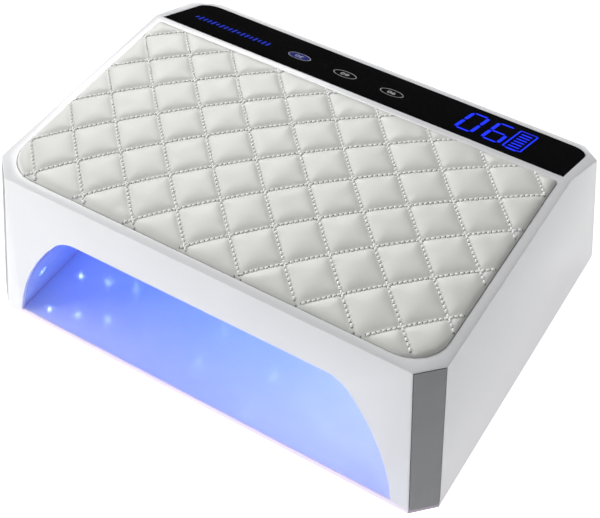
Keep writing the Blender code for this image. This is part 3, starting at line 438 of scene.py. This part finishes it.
def led_board():
    """White solder mask on flexible board, with copper strips showing faintly through it."""
    made = Shader("led_board_white", Roughness=0.38)
    brick = made.add("TexBrick", Vector=made.place((0.2, 1.0, 1.0)), Scale=70.0, Mortar_Size=0.02)
    strips = brick.outputs["Fac"]
    speck = made.cloud(700.0, 3.0, 0.0, 0.25)
    base = made.mix(speck, (0.78, 0.79, 0.78), (0.66, 0.67, 0.66))
    made.colour(made.mix(made.maths("MULTIPLY", strips, 0.5), base, (0.55, 0.50, 0.40)))
    made.set(made.surface, Normal=made.bump(strips, 0.05 * MM))
    return made.material


def cell_wrap():
    """Shrink sleeve with a faint long seam, and steel showing at both ends of the cell."""
    made = Shader("cell_wrap")
    along = made.axis("X", "Generated")
    ends = made.remap(made.maths("ABSOLUTE", made.maths("SUBTRACT", along, 0.5)), 0.478, 0.482)
    drift = made.cloud(60.0, 4.0)
    sleeve = made.mix(drift, (0.03, 0.12, 0.38), (0.05, 0.18, 0.50))
    steel = made.mix(drift, (0.50, 0.50, 0.52), (0.62, 0.62, 0.64))
    made.colour(made.mix(ends, sleeve, steel))
    made.set(made.surface, Metallic=ends, Roughness=made.remap(drift, 0.0, 1.0, 0.3, 0.42))
    made.set(made.surface, Normal=made.bump(made.noise(400.0, 2.0, (0.2, 1, 1)), 0.02 * MM))
    return made.material


def rubber():
    made = Shader("rubber")
    pores = made.cells(1500.0)
    made.colour(made.mix(made.cloud(200.0), (0.018, 0.018, 0.019), (0.035, 0.035, 0.034)))
    made.set(made.surface, Roughness=made.remap(pores, 0.0, 0.6, 0.75, 0.95))
    made.set(made.surface, Normal=made.bump(pores, 0.04 * MM))
    return made.material


def pad_leather():
    """Soft coated cloth: fine leather grain, painted shade along the seams, and a dented pit with a painted
    shadow where the needle went in.
    """
    made = Shader("cushion_skin", Specular_IOR_Level=0.45, Sheen_Weight=0.1, Sheen_Roughness=0.4)
    drift = made.cloud(22.0, 5.0)
    base = made.mix(drift, (0.760, 0.762, 0.728), (0.808, 0.811, 0.777))
    seam_painted_shades, needle_pits_and_shadows = zip(*(made.seam(*rows) for rows in (("row_a", "row_b"), ("row_b", "row_a"))))
    seam_painted_shade, needle_pit_and_shadow = made.maths("MAXIMUM", *seam_painted_shades), made.maths("MAXIMUM", *needle_pits_and_shadows)
    # painted shade along each seam
    base = made.mix(made.maths("MULTIPLY", seam_painted_shade, 0.16), base, (0.42, 0.42, 0.40))
    # painted shadow in each needle pit, which the bump below also dents
    made.colour(made.mix(made.maths("MULTIPLY", needle_pit_and_shadow, 0.75), base, (0.16, 0.16, 0.15)))
    grain = made.cells(1100.0, "SMOOTH_F1")
    fold = made.noise(260.0, 3.0)
    made.set(made.surface, Roughness=made.cloud(90.0, 5.0, 0.36, 0.48))
    skin = made.bump(grain, 0.035 * MM, 0.6)
    folded = made.bump(fold, 0.12 * MM, 0.5, skin)
    made.set(made.surface, Normal=made.bump(made.maths("SUBTRACT", 1.0, needle_pit_and_shadow), 0.4 * MM, 1.0, folded))
    return made.material


def thread():
    """Thick white thread with a faint painted glow, so that it stays white down in its seam."""
    made = Shader("thread", Roughness=0.75, Sheen_Weight=0.3, Emission_Strength=0.10)
    twist = made.noise(2600.0, 2.0)
    made.colour(made.mix(made.remap(twist, 0.3, 0.7), (0.86, 0.86, 0.84), (0.95, 0.95, 0.93)))
    made.set(made.surface, Normal=made.bump(twist, 0.08 * MM))
    return made.material


def led_lens(name, strength):
    """A clear lens that glows blue, with the lit chip showing as a small pale core."""
    made = Shader(name, Roughness=0.1, Coat_Weight=0.5)
    made.colour((0.25, 0.27, 0.5))
    reach = made.add("Attribute", {"attribute_name": "reach"}).outputs["Fac"]
    core = made.remap(reach, 0.28, 0.46, 1.0, 0.0)
    level = made.cloud(900.0, 2.0, 0.9, 1.1)
    glow = made.remap(core, 0.0, 1.0, strength, strength * CORE_GAIN)
    made.set(made.surface, Emission_Color=made.mix(core, LED_COLOUR, CORE_COLOUR))
    made.set(made.surface, Emission_Strength=made.maths("MULTIPLY", level, glow))
    return made.material


FINISHES = {
    "white_shell": moulded(
        "white_shell", (0.87, 0.875, 0.89), 0.30, wear=0.3, tint=0.008, Coat_Weight=0.15
    ),
    "dark_plastic": moulded("dark_plastic", (0.022, 0.022, 0.024), 0.45, 1500.0, 0.03 * MM, wear=0.5),
    "liner_plastic": moulded(
        "liner_plastic", (0.62, 0.70, 0.92), 0.16, 700.0, 0.004 * MM, 0.015, Coat_Weight=0.5
    ),
    "tray_plastic": tray_plastic(),
    # the silver trim gets painted light, 1.35 times paler at the ground
    "silver_trim": brushed("silver_trim", (0.21, 0.212, 0.218), 0.42, (1.0, 1.0, 0.05), 0.6, 0.03, 1.35),
    "steel": brushed("steel", (0.56, 0.56, 0.58), 0.3, (1.0, 0.1, 1.0)),
    "aluminium": brushed("aluminium", (0.66, 0.67, 0.69), 0.38, (1.0, 1.0, 0.06)),
    "black_glass": black_glass(),
    "mirror_sheet": mirror_sheet(),
    "led_board_white": led_board(),
    "cell_wrap": cell_wrap(),
    "rubber": rubber(),
    "wire_jacket": moulded("wire_jacket", (0.42, 0.02, 0.018), 0.42, 900.0, 0.02 * MM),
    "foam": moulded("foam", (0.72, 0.69, 0.58), 0.95, 900.0, 0.4 * MM, 0.1),
}
CONTROL_BOARD_FACE = CONTROL_BOARD_DEPTH - Vector((0, CREASE_Y, TOP_Z)).dot(PANEL_NORMAL)
BOARD_FINISHES = {
    "power_board": circuit_board("circuit_board_power", (0, 1, 0), POWER_BOARD_Y),
    "control_board": circuit_board("circuit_board_control", tuple(-PANEL_NORMAL), CONTROL_BOARD_FACE),
}


# ---------------------------------------------------------------- CAD nodes


def merge_group():
    """Joins the frame's loose triangles and shades them smooth between their sharp edges."""
    group = bpy.data.node_groups.new("join_faces", "GeometryNodeTree")
    for direction in ("INPUT", "OUTPUT"):
        group.interface.new_socket("Geometry", in_out=direction, socket_type="NodeSocketGeometry")
    nodes, links = group.nodes, group.links
    merge = nodes.new("GeometryNodeMergeByDistance")
    merge.inputs["Distance"].default_value = MERGE_DISTANCE
    smooth = nodes.new("GeometryNodeSetShadeSmooth")
    angle = nodes.new("GeometryNodeInputMeshEdgeAngle")
    sharp = nodes.new("FunctionNodeCompare")
    sharp.operation = "GREATER_THAN"
    sharp.inputs[1].default_value = SHARP_ANGLE
    crisp = nodes.new("GeometryNodeSetShadeSmooth")
    crisp.domain = "EDGE"
    crisp.inputs["Shade Smooth"].default_value = False
    links.new(nodes.new("NodeGroupInput").outputs[0], merge.inputs[0])
    links.new(merge.outputs[0], smooth.inputs[0])
    links.new(smooth.outputs[0], crisp.inputs[0])
    links.new(angle.outputs["Unsigned Angle"], sharp.inputs[0])
    links.new(sharp.outputs[0], crisp.inputs["Selection"])
    links.new(crisp.outputs[0], nodes.new("NodeGroupOutput").inputs[0])
    return group


def dress_nodes():
    """Each node gets its slot's finish, or its own where the node is a circuit board."""
    group = merge_group()
    for name, node in NODES.items():
        slot = node.material_slots[0]
        slot.material = BOARD_FINISHES.get(name) or FINISHES.get(slot.material.name, slot.material)
        node.modifiers.new("join", "NODES").node_group = group


# ---------------------------------------------------------------- mesh helpers


def add_object(name, data):
    made = bpy.data.objects.new(name, data)
    bpy.context.scene.collection.objects.link(made)
    return made


def add_mesh(name, shape):
    """A new object with this bmesh's shape."""
    mesh = bpy.data.meshes.new(name)
    shape.to_mesh(mesh)
    return add_object(name, mesh)


def piece(name, shape, material, body="lamp"):
    """A new piece from this bmesh, riding on a body; the bmesh is freed."""
    made = add_mesh(name, shape)
    shape.free()
    made.data.materials.append(material)
    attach(made, body)
    return made


def loop_of(shape, outline, z, matrix):
    return [shape.verts.new(matrix @ Vector((x, y, z))) for x, y in outline]


def bridge(shape, here, there):
    """Adds the faces between two loops of as many points."""
    count = len(here)
    for i in range(count):
        j = (i + 1) % count
        shape.faces.new((here[i], here[j], there[j], there[i]))


def tube(shape, loops):
    """Adds the faces between each two loops, and closes both ends."""
    for here, there in zip(loops, loops[1:]):
        bridge(shape, here, there)
    shape.faces.new(loops[0][::-1])
    shape.faces.new(loops[-1])


def slab(shape, outline):
    """Adds a flat closed outline, as thick as the ink, to a bmesh on the control panel."""
    low, high = (loop_of(shape, outline, z, PANEL) for z in INK)
    shape.faces.new(low[::-1])
    shape.faces.new(high)
    bridge(shape, low, high)


def ellipse(centre, radii, steps=48):
    turns = [2 * math.pi * step / steps for step in range(steps)]
    return [(centre[0] + radii[0] * math.cos(t), centre[1] + radii[1] * math.sin(t)) for t in turns]


def ring(shape, centre, radii, width):
    """Adds an elliptical ring of this width to a bmesh on the control panel."""
    outer = ellipse(centre, radii)
    inner = ellipse(centre, (radii[0] - width, radii[1] - width))
    low, high = INK
    corners = ((outer, low), (outer, high), (inner, high), (inner, low))
    loops = [loop_of(shape, outline, z, PANEL) for outline, z in corners]
    for here, there in zip(loops, loops[1:] + loops[:1]):
        bridge(shape, here, there)


def bar(start, end, width, point=0.5):
    """Outline of a straight bar with pointed ends, as a segment of a figure has."""
    start, end = Vector(start), Vector(end)
    along = (end - start).normalized()
    side = Vector((-along.y, along.x)) * width / 2
    tip = along * width * point
    corners = [start, start + tip - side, end - tip - side, end, end - tip + side, start + tip + side]
    return [tuple(corner) for corner in corners]


# ---------------------------------------------------------------- LEDs


def side_point(lean, offset):
    """(x, z) on the tunnel's right wall where it leans this much, moved out by offset."""
    centre_x = FOOT_X - SIDE_RADIUS * math.cos(FOOT_LEAN)
    centre_z = FLOOR_Z - SIDE_RADIUS * math.sin(FOOT_LEAN)
    radius = SIDE_RADIUS + offset
    return centre_x + radius * math.cos(lean), centre_z + radius * math.sin(lean)


def row_y(row):
    first = LED_FIRST_Y + (LED_PITCH / 2 if row % 2 else 0)
    return [first + LED_PITCH * number for number in range(LEDS_IN_ROW)]


def lens_places():
    """Where each LED's face is and which way it looks, by board."""
    places = {"left": [], "right": [], "roof": []}
    for name, side in (("left", -1), ("right", 1)):
        for row, lean in enumerate(LED_SIDE_LEANS):
            x, z = side_point(lean, LED_FACE_DEPTH)
            look = Vector((-side * math.cos(lean), 0, -math.sin(lean)))
            places[name] += [(Vector((side * x, y, z)), look) for y in row_y(row)]
    for row, x in enumerate(LED_ROOF_X):
        places["roof"] += [
            (Vector((x, y, ROOF_Z + LED_FACE_DEPTH)), Vector((0, 0, -1))) for y in row_y(row + 1)
        ]
    return places


def make_lenses():
    materials = {
        "left": led_lens("led_lens_side", LED_STRENGTH),
        "roof": led_lens("led_lens_roof", ROOF_LED_STRENGTH),
    }
    materials["right"] = materials["left"]
    for name, places in lens_places().items():
        shape = bmesh.new()
        for centre, look in places:
            turn = look.to_track_quat("Z", "Y").to_matrix().to_4x4()
            matrix = Matrix.Translation(centre) @ turn
            tube(shape, [
                loop_of(shape, ellipse((0, 0), (LENS_RADIUS * share,) * 2, LENS_SIDES), height * MM, matrix)
                for share, height in LENS_PROFILE
            ])
        lenses = piece(f"led_lenses_{name}", shape, materials[name])
        lenses.data.shade_smooth()
        reach = lenses.data.attributes.new("reach", "FLOAT", "POINT")
        shares = [share for share, _ in LENS_PROFILE for _ in range(LENS_SIDES)]
        reach.data.foreach_set("value", shares * len(places))


# ---------------------------------------------------------------- control panel marks


def segment_lines(left, right):
    """The seven bars of one figure by their usual letters, each as its two ends."""
    low, high = FIGURE_Y
    middle = (low + high) / 2
    gap = SEGMENT_GAP
    return {
        "a": ((left + gap, high), (right - gap, high)),
        "b": ((right, middle + gap), (right, high - gap)),
        "c": ((right, low + gap), (right, middle - gap)),
        "d": ((left + gap, low), (right - gap, low)),
        "e": ((left, low + gap), (left, middle - gap)),
        "f": ((left, middle + gap), (left, high - gap)),
        "g": ((left + gap, middle), (right - gap, middle)),
    }


def make_display():
    """The lit figures, and a full battery beside them."""
    blue = glowing("display_blue", (0.006, 0.028, 1.0), 1.15)
    shape = bmesh.new()
    for letters, left, right in FIGURES:
        lines = segment_lines(left, right)
        for letter in letters:
            slab(shape, bar(*lines[letter], SEGMENT_WIDTH))
    left, right = BATTERY_X
    low, high = FIGURE_Y[0] - BATTERY_MARGIN, FIGURE_Y[1] + BATTERY_MARGIN
    corners = [(left, low), (right, low), (right, high), (left, high)]
    for start, end in zip(corners, corners[1:] + corners[:1]):
        slab(shape, bar(start, end, BATTERY_LINE, 0.3))
    middle, cap_y = (left + right) / 2, low - BATTERY_CAP_GAP
    cap_ends = [(middle + side * BATTERY_CAP_HALF, cap_y) for side in (-1, 1)]
    slab(shape, bar(*cap_ends, BATTERY_CAP_WIDTH))
    for number in range(BATTERY_BARS):
        y = low + BATTERY_BAR_FIRST + BATTERY_BAR_PITCH * number
        ends = (left + BATTERY_BAR_INSET, y), (right - BATTERY_BAR_INSET, y)
        slab(shape, bar(*ends, BATTERY_BAR_WIDTH, 0.2))
    piece("display_figures", shape, blue)


def make_level_mark():
    """A plain row of bars, rising and falling, lit in the same blue."""
    shape = bmesh.new()
    left, right = LEVEL_X
    shortest, longest = LEVEL_HALF_LENGTHS
    for number in range(LEVEL_BARS):
        x = left + (right - left) * (number + 0.5) / LEVEL_BARS
        half = shortest + (longest - shortest) * abs(math.sin(LEVEL_BEAT * number))
        slab(shape, bar((x, LEVEL_Y - half), (x, LEVEL_Y + half), LEVEL_BAR_WIDTH))
    piece("level_mark", shape, glowing("mark_blue", (0.005, 0.030, 0.60), 0.7))


def text_mesh(text, size):
    """A number as a flat mesh centred on the origin."""
    curve = bpy.data.curves.new("number", "FONT")
    curve.body = text
    curve.size = size
    curve.align_x = curve.align_y = "CENTER"
    curve.extrude = (INK[1] - INK[0]) / 2
    guide = add_object("number", curve)
    graph = bpy.context.evaluated_depsgraph_get()
    mesh = bpy.data.meshes.new_from_object(guide.evaluated_get(graph))
    bpy.data.objects.remove(guide)
    return mesh


def make_keys():
    """The three touch marks: a ring and a number each, the first one lit."""
    rings, numbers, lit = bmesh.new(), bmesh.new(), bmesh.new()
    for x, text in zip(KEY_X, KEY_NUMBERS):
        ring(rings, (x, KEY_Y), KEY_RADII, KEY_LINE)
        mesh = text_mesh(text, KEY_NUMBER_SIZE)
        place = Matrix.Translation((x, KEY_Y, sum(INK) / 2 + KEY_NUMBER_LIFT))
        mesh.transform(PANEL @ place @ Matrix.Rotation(math.pi, 4, "Z"))
        numbers.from_mesh(mesh)
        bpy.data.meshes.remove(mesh)
    inner = [radius - KEY_LIGHT_INSET for radius in KEY_RADII]
    slab(lit, ellipse((KEY_X[0], KEY_Y), inner))
    piece("key_rings", rings, printed("key_ink", (0.62, 0.62, 0.64)))
    piece("key_numbers", numbers, printed("number_ink", (0.62, 0.63, 0.66)))
    piece("key_light", lit, glowing("key_blue", (0.001, 0.006, 0.13), 1.0))


# ---------------------------------------------------------------- quilted pad


def quilt_rows(x, y):
    """Both numbers are whole on a seam; the rows bend a little, as sewn ones do."""
    x, y = x / ROW_UNIT, y / ROW_UNIT
    a = 6.088 + 3.682 * x + 3.339 * y - 0.147 * y * y
    b = 4.753 + 3.338 * x - 3.788 * y - 0.144 * x * x - 0.112 * x * y - 0.609 * y * y
    return a, b


def quilt_place(a, b):
    """Where both rows have these numbers, by Newton's method."""
    x, y = np.zeros_like(a), np.zeros_like(a)
    step, rounds = 1e-5, 12
    for _ in range(rounds):
        here_a, here_b = quilt_rows(x, y)
        ax, bx = ((value - here) / step for value, here in zip(quilt_rows(x + step, y), (here_a, here_b)))
        ay, by = ((value - here) / step for value, here in zip(quilt_rows(x, y + step), (here_a, here_b)))
        det = ax * by - ay * bx
        da, db = a - here_a, b - here_b
        x, y = x + (by * da - ay * db) / det, y + (ax * db - bx * da) / det
    return x, y


def inside_distance(x, y):
    """Distance inwards from the pad's edge, negative outside it."""
    middle_y = (PAD_FRONT_Y + PAD_BACK_Y) / 2
    half_y = (PAD_BACK_Y - PAD_FRONT_Y) / 2
    radius = np.where(y < middle_y, PAD_FRONT_RADIUS, PAD_BACK_RADIUS)
    across = np.abs(x) - (PAD_HALF_X - radius)
    along = np.abs(y - middle_y) - (half_y - radius)
    outside = np.hypot(np.maximum(across, 0), np.maximum(along, 0))
    return radius - outside - np.minimum(np.maximum(across, along), 0)


def pad_outline(inset):
    """The pad's edge moved in by inset, as points, counter-clockwise."""
    corners = [
        (-PAD_HALF_X, PAD_FRONT_Y, PAD_FRONT_RADIUS), (PAD_HALF_X, PAD_FRONT_Y, PAD_FRONT_RADIUS),
        (PAD_HALF_X, PAD_BACK_Y, PAD_BACK_RADIUS), (-PAD_HALF_X, PAD_BACK_Y, PAD_BACK_RADIUS),
    ]
    points = []
    arcs = []
    for number, (x, y, radius) in enumerate(corners):
        centre = Vector((x - math.copysign(radius, x), y + (radius if number < 2 else -radius)))
        start = math.pi + number * math.pi / 2
        steps = max(3, round(radius * math.pi / 2 / SHEET_RIM_PITCH))
        turns = [start + math.pi / 2 * step / steps for step in range(steps + 1)]
        arcs.append([centre + Vector((math.cos(t), math.sin(t))) * (radius - inset) for t in turns])
    for arc, following in zip(arcs, arcs[1:] + arcs[:1]):
        points += arc
        start, end = arc[-1], following[0]
        steps = round((end - start).length / SHEET_RIM_PITCH)
        points += [start.lerp(end, step / steps) for step in range(1, steps)]
    return points


def pad_sheet():
    """The pad's top as a flat bmesh whose edges run along the seams."""
    outline = pad_outline(SHEET_INSET)
    rows = np.arange(ROWS[0] * CELL_STEPS, ROWS[1] * CELL_STEPS) / CELL_STEPS
    a, b = np.meshgrid(rows, rows)
    x, y = quilt_place(a.ravel(), b.ravel())
    keep = (inside_distance(x, y) > SHEET_RIM_GAP) & (np.abs(x) < PAD_HALF_X) & (np.abs(y) < PAD_HALF_X)
    inner = [Vector(point) for point in zip(x[keep], y[keep])]
    rim = list(range(len(outline)))
    edges = list(zip(rim, rim[1:] + rim[:1]))
    places, _, faces, *_ = delaunay_2d_cdt(outline + inner, edges, [], 1, 1e-7)
    shape = bmesh.new()
    verts = [shape.verts.new((*place, 0)) for place in places]
    for face in faces:
        shape.faces.new([verts[i] for i in face])
    bmesh.ops.join_triangles(
        shape, faces=shape.faces, angle_face_threshold=0.1, angle_shape_threshold=math.radians(50)
    )
    shape.verts.index_update()
    return shape


def seam_distance(x, y):
    """Distance to the nearest seam, and to the nearest crossing of two."""
    a, b = quilt_rows(x, y)
    near_a = np.abs(a - np.round(a)) * CELL_SIDE
    near_b = np.abs(b - np.round(b)) * CELL_SIDE
    return np.minimum(near_a, near_b), np.hypot(near_a, near_b)


def pillow_height(x, y):
    """How far the filling lifts the cover above its seams, from 0 to 1."""
    seam, _ = seam_distance(x, y)
    edge = np.maximum(inside_distance(x, y), 0)
    return (1 - np.exp(-seam / SHOULDER)) * (1 - np.exp(-edge / SHOULDER))


def inflate(shape):
    """Blows the sheet up as cloth sewn down along its seams and rim, and returns each point's place."""
    sheet = add_mesh("cover_sheet", shape)
    mesh = sheet.data
    x, y, _ = np.array([vert.co for vert in mesh.vertices]).T
    held = (seam_distance(x, y)[0] < SEWN_BY_SEAM) | (inside_distance(x, y) < SEWN_BY_RIM)
    sewn = np.nonzero(held)[0]
    sheet.vertex_groups.new(name="sewn").add(sewn.tolist(), 1.0, "REPLACE")
    cloth = sheet.modifiers.new("inflate", "CLOTH")
    cloth.collision_settings.use_collision = False
    cloth.point_cache.frame_start, cloth.point_cache.frame_end = 1, CLOTH_FRAMES
    settings = cloth.settings
    settings.quality = CLOTH_QUALITY
    settings.bending_stiffness = CLOTH_BENDING
    settings.mass = CLOTH_MASS
    settings.vertex_group_mass = "sewn"
    settings.use_pressure = True
    settings.uniform_pressure_force = CLOTH_PRESSURE
    settings.shrink_min = -CLOTH_SLACK
    settings.effector_weights.gravity = 0.0
    for frame_number in range(1, CLOTH_FRAMES + 1):
        bpy.context.scene.frame_set(frame_number)
    blown = sheet.evaluated_get(bpy.context.evaluated_depsgraph_get()).data
    places = np.array([vert.co for vert in blown.vertices])
    bpy.context.scene.frame_set(1)
    bpy.data.objects.remove(sheet)
    bpy.data.meshes.remove(mesh)
    return places


def lift_pad(shape):
    """Where each point of the flat sheet goes and how far its pillow lifts it, from 0 to 1.
    """
    x, y, _ = np.array([vert.co for vert in shape.verts]).T
    lift = pillow_height(x, y)
    for vert, height in zip(shape.verts, lift * CLOTH_START_LIFT):
        vert.co.z = height
    places = inflate(shape)
    moved = np.clip(places[:, :2] - np.stack((x, y), axis=1), -MOST_SHIFT, MOST_SHIFT)
    full = np.percentile(places[:, 2], CLOTH_FULL_PERCENTILE)
    blown = np.clip(places[:, 2] / full, 0, CLOTH_MOST)
    blown = smoothed(shape, blown, blown < CLOTH_HELD_BELOW)
    lift = (1 - CLOTH_SHARE) * lift / lift.max() + CLOTH_SHARE * blown
    return x + moved[:, 0], y + moved[:, 1], lift / lift.max()


def smoothed(shape, values, fixed):
    """Each value moved to its neighbours' mean, a few times over, except the fixed ones."""
    ends = np.array([[vert.index for vert in edge.verts] for edge in shape.edges])
    ends = np.concatenate((ends, ends[:, ::-1]))
    count = np.bincount(ends[:, 0])
    for _ in range(SMOOTHING_ROUNDS):
        mean = np.bincount(ends[:, 0], values[ends[:, 1]]) / count
        values = np.where(fixed, values, (values + mean) / 2)
    return values


def make_cushion():
    """The quilted cover as one closed piece: pillows on top, then the rim, then round the board."""
    shape = pad_sheet()
    rim_edges = [edge for edge in shape.edges if len(edge.link_faces) == 1]
    x, y, lift = lift_pad(shape)
    _, crossing = seam_distance(x, y)
    pucker = PUCKER_DEPTH * np.exp(-((crossing / PUCKER_REACH) ** 2))
    edge = np.maximum(inside_distance(x, y), 0)
    rim_drop = (PAD_CREASE_Z - PAD_EDGE_Z) * np.exp(-edge / RIM_REACH)
    z = PAD_CREASE_Z + (PAD_TOP_Z - PAD_CREASE_Z) * np.minimum(lift, 1.0) - pucker - rim_drop
    for vert, place in zip(shape.verts, zip(x, y, z)):
        vert.co = place
    for inset, height in RIM_STEPS:
        made = bmesh.ops.extrude_edge_only(shape, edges=rim_edges)["geom"]
        rim_edges = [item for item in made if isinstance(item, bmesh.types.BMEdge)]
        for vert in (item for item in made if isinstance(item, bmesh.types.BMVert)):
            vert.co = (*edge_point(vert.co, inset), height)
        rim_edges = [edge for edge in rim_edges if len(edge.link_faces) == 1]
    under = bmesh.ops.edgeloop_fill(shape, edges=rim_edges)["faces"]
    bmesh.ops.triangulate(shape, faces=under)
    bmesh.ops.recalc_face_normals(shape, faces=shape.faces)
    cushion = piece("quilted_cushion", shape, pad_leather())
    x, y, _ = np.array([vert.co for vert in cushion.data.vertices]).T
    a, b = quilt_rows(x, y)
    for name, values in (("row_a", a), ("row_b", b)):
        attribute = cushion.data.attributes.new(name, "FLOAT", "POINT")
        attribute.data.foreach_set("value", values.astype(np.float32))
    cushion.data.shade_smooth()
    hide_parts("cushion_cover", "cushion_foam")


def edge_point(point, inset):
    """The nearest point on the pad's edge moved in by inset."""
    radius = PAD_FRONT_RADIUS if point.y < 0 else PAD_BACK_RADIUS
    x = max(min(point.x, PAD_HALF_X - radius), radius - PAD_HALF_X)
    y = max(min(point.y, PAD_BACK_Y - PAD_BACK_RADIUS), PAD_FRONT_Y + PAD_FRONT_RADIUS)
    centre = Vector((x, y))
    flat = Vector((point.x, point.y))
    return centre + (flat - centre).normalized() * (radius - inset)


def make_stitching():
    """A short thread between each two needle holes, sunk in its seam."""
    shape = bmesh.new()
    share = 1.0 / STITCHES_PER_CELL
    steps = np.arange(*ROWS, share) + share / 2
    for turned in (False, True):
        for line in range(*ROWS):
            across = np.full_like(steps, float(line))
            ends = []
            for shift in (-STITCH_HALF_SHARE * share, STITCH_HALF_SHARE * share):
                along = steps + shift
                ends.append(np.stack(quilt_place(*((along, across) if turned else (across, along))), axis=1))
            for start, end in zip(*ends):
                if min(inside_distance(*start), inside_distance(*end)) > STITCH_FROM_RIM:
                    add_stitch(shape, Vector((*start, 0)), Vector((*end, 0)))
    stitches = piece("cushion_stitching", shape, thread())
    stitches.data.shade_smooth()


def add_stitch(shape, start, end):
    """One thread, arched from hole to hole."""
    up = Vector((0, 0, 1))
    side = up.cross((end - start).normalized())
    turns = [2 * math.pi * step / THREAD_SIDES for step in range(THREAD_SIDES)]
    loops = []
    for share, lift, radius in THREAD_RINGS:
        centre = start.lerp(end, share)
        centre.z = PAD_CREASE_Z + lift * MM
        loops.append([
            shape.verts.new(centre + (side * math.cos(t) + up * math.sin(t)) * radius * MM) for t in turns
        ])
    tube(shape, loops)


# ---------------------------------------------------------------- stage


def make_stage():
    """A pale floor; behind the lamp it shows dull in reflections, to keep the glass black."""
    shape = bmesh.new()
    bmesh.ops.create_grid(shape, x_segments=1, y_segments=1, size=FLOOR_HALF)
    floor = add_mesh("studio_floor", shape)
    shape.free()
    made = Shader("studio_floor", Roughness=0.8, Specular_IOR_Level=0.2)
    made.colour(made.mix(made.cloud(3.0), (0.88, 0.88, 0.88), (0.90, 0.90, 0.90)))
    path = made.add("LightPath")
    glow = made.remap(path.outputs["Is Camera Ray"], 0.0, 1.0, FLOOR_GLOW, FLOOR_GLOW_SEEN)
    made.set(made.surface, Emission_Color=(1, 1, 1), Emission_Strength=glow)
    dull = made.add("Emission", Color=(1, 1, 1), Strength=FLOOR_MIRRORED)
    behind = made.remap(made.axis("Y"), DARK_FROM_Y, DARK_BY_Y)
    hidden = made.maths("MULTIPLY", behind, path.outputs["Is Glossy Ray"])
    both = made.add("MixShader")
    for socket, source in zip(both.inputs, (hidden, made.surface.outputs[0], dull.outputs[0])):
        made.feed(socket, source)
    made.feed(made.tree.nodes["Material Output"].inputs["Surface"], both.outputs[0])
    floor.data.materials.append(made.material)


def area_light(name, place, aim, size, power, colour=(1, 1, 1)):
    light = bpy.data.lights.new(name, "AREA")
    light.shape = "RECTANGLE"
    light.size, light.size_y = size
    light.energy = power
    light.color = colour
    lamp = add_object(name, light)
    lamp.location = place
    lamp.rotation_euler = (Vector(aim) - Vector(place)).to_track_quat("-Z", "Y").to_euler()
    return lamp


def make_world():
    """Even grey-white surroundings, darker low down behind the lamp and white where seen directly."""
    world = bpy.data.worlds.new("studio")
    world.use_nodes = True
    tree = world.node_tree
    sky = tree.nodes["Background"]
    white = tree.nodes.new("ShaderNodeBackground")
    white.inputs["Color"].default_value = (1, 1, 1, 1)
    height = tree.nodes.new("ShaderNodeVectorMath")
    height.operation = "DOT_PRODUCT"
    height.inputs[1].default_value = SKY_LEAN
    level = tree.nodes.new("ShaderNodeMapRange")
    level.inputs["From Min"].default_value = SKY_LOW_HEIGHT
    level.inputs["From Max"].default_value = 0.0
    level.inputs["To Min"].default_value = SKY_LOW_STRENGTH
    level.inputs["To Max"].default_value = SKY_STRENGTH
    path = tree.nodes.new("ShaderNodeLightPath")
    mix = tree.nodes.new("ShaderNodeMixShader")
    link = tree.links.new
    link(tree.nodes.new("ShaderNodeTexCoord").outputs["Generated"], height.inputs[0])
    link(height.outputs["Value"], level.inputs["Value"])
    link(level.outputs["Result"], sky.inputs["Strength"])
    link(path.outputs["Is Camera Ray"], mix.inputs[0])
    link(sky.outputs[0], mix.inputs[1])
    link(white.outputs[0], mix.inputs[2])
    link(mix.outputs[0], tree.nodes["World Output"].inputs[0])
    bpy.context.scene.world = world


def make_camera():
    data = bpy.data.cameras.new("camera")
    data.lens = CAMERA_LENS
    data.sensor_width = 36.0
    camera = add_object("camera", data)
    camera.location = CAMERA_PLACE
    aim = Vector(CAMERA_AIM) - camera.location
    camera.rotation_euler = aim.to_track_quat("-Z", "Y").to_euler()
    bpy.context.scene.camera = camera


def make_lights():
    for name, place, aim, size, power in LIGHTS:
        area_light(name, place, aim, size, power)
    for name, place, size, power, colour in TUNNEL_LIGHTS:
        glow = area_light(name, place, (place[0], place[1], 0), size, power, colour)
        glow.visible_camera = glow.visible_glossy = False
        glow.parent = frame["bodies"]["lamp"]
    bpy.context.scene.view_settings.view_transform = "Standard"


dress_nodes()
make_lenses()
make_display()
make_level_mark()
make_keys()
make_cushion()
make_stitching()
make_camera()
make_stage()
make_world()
make_lights()
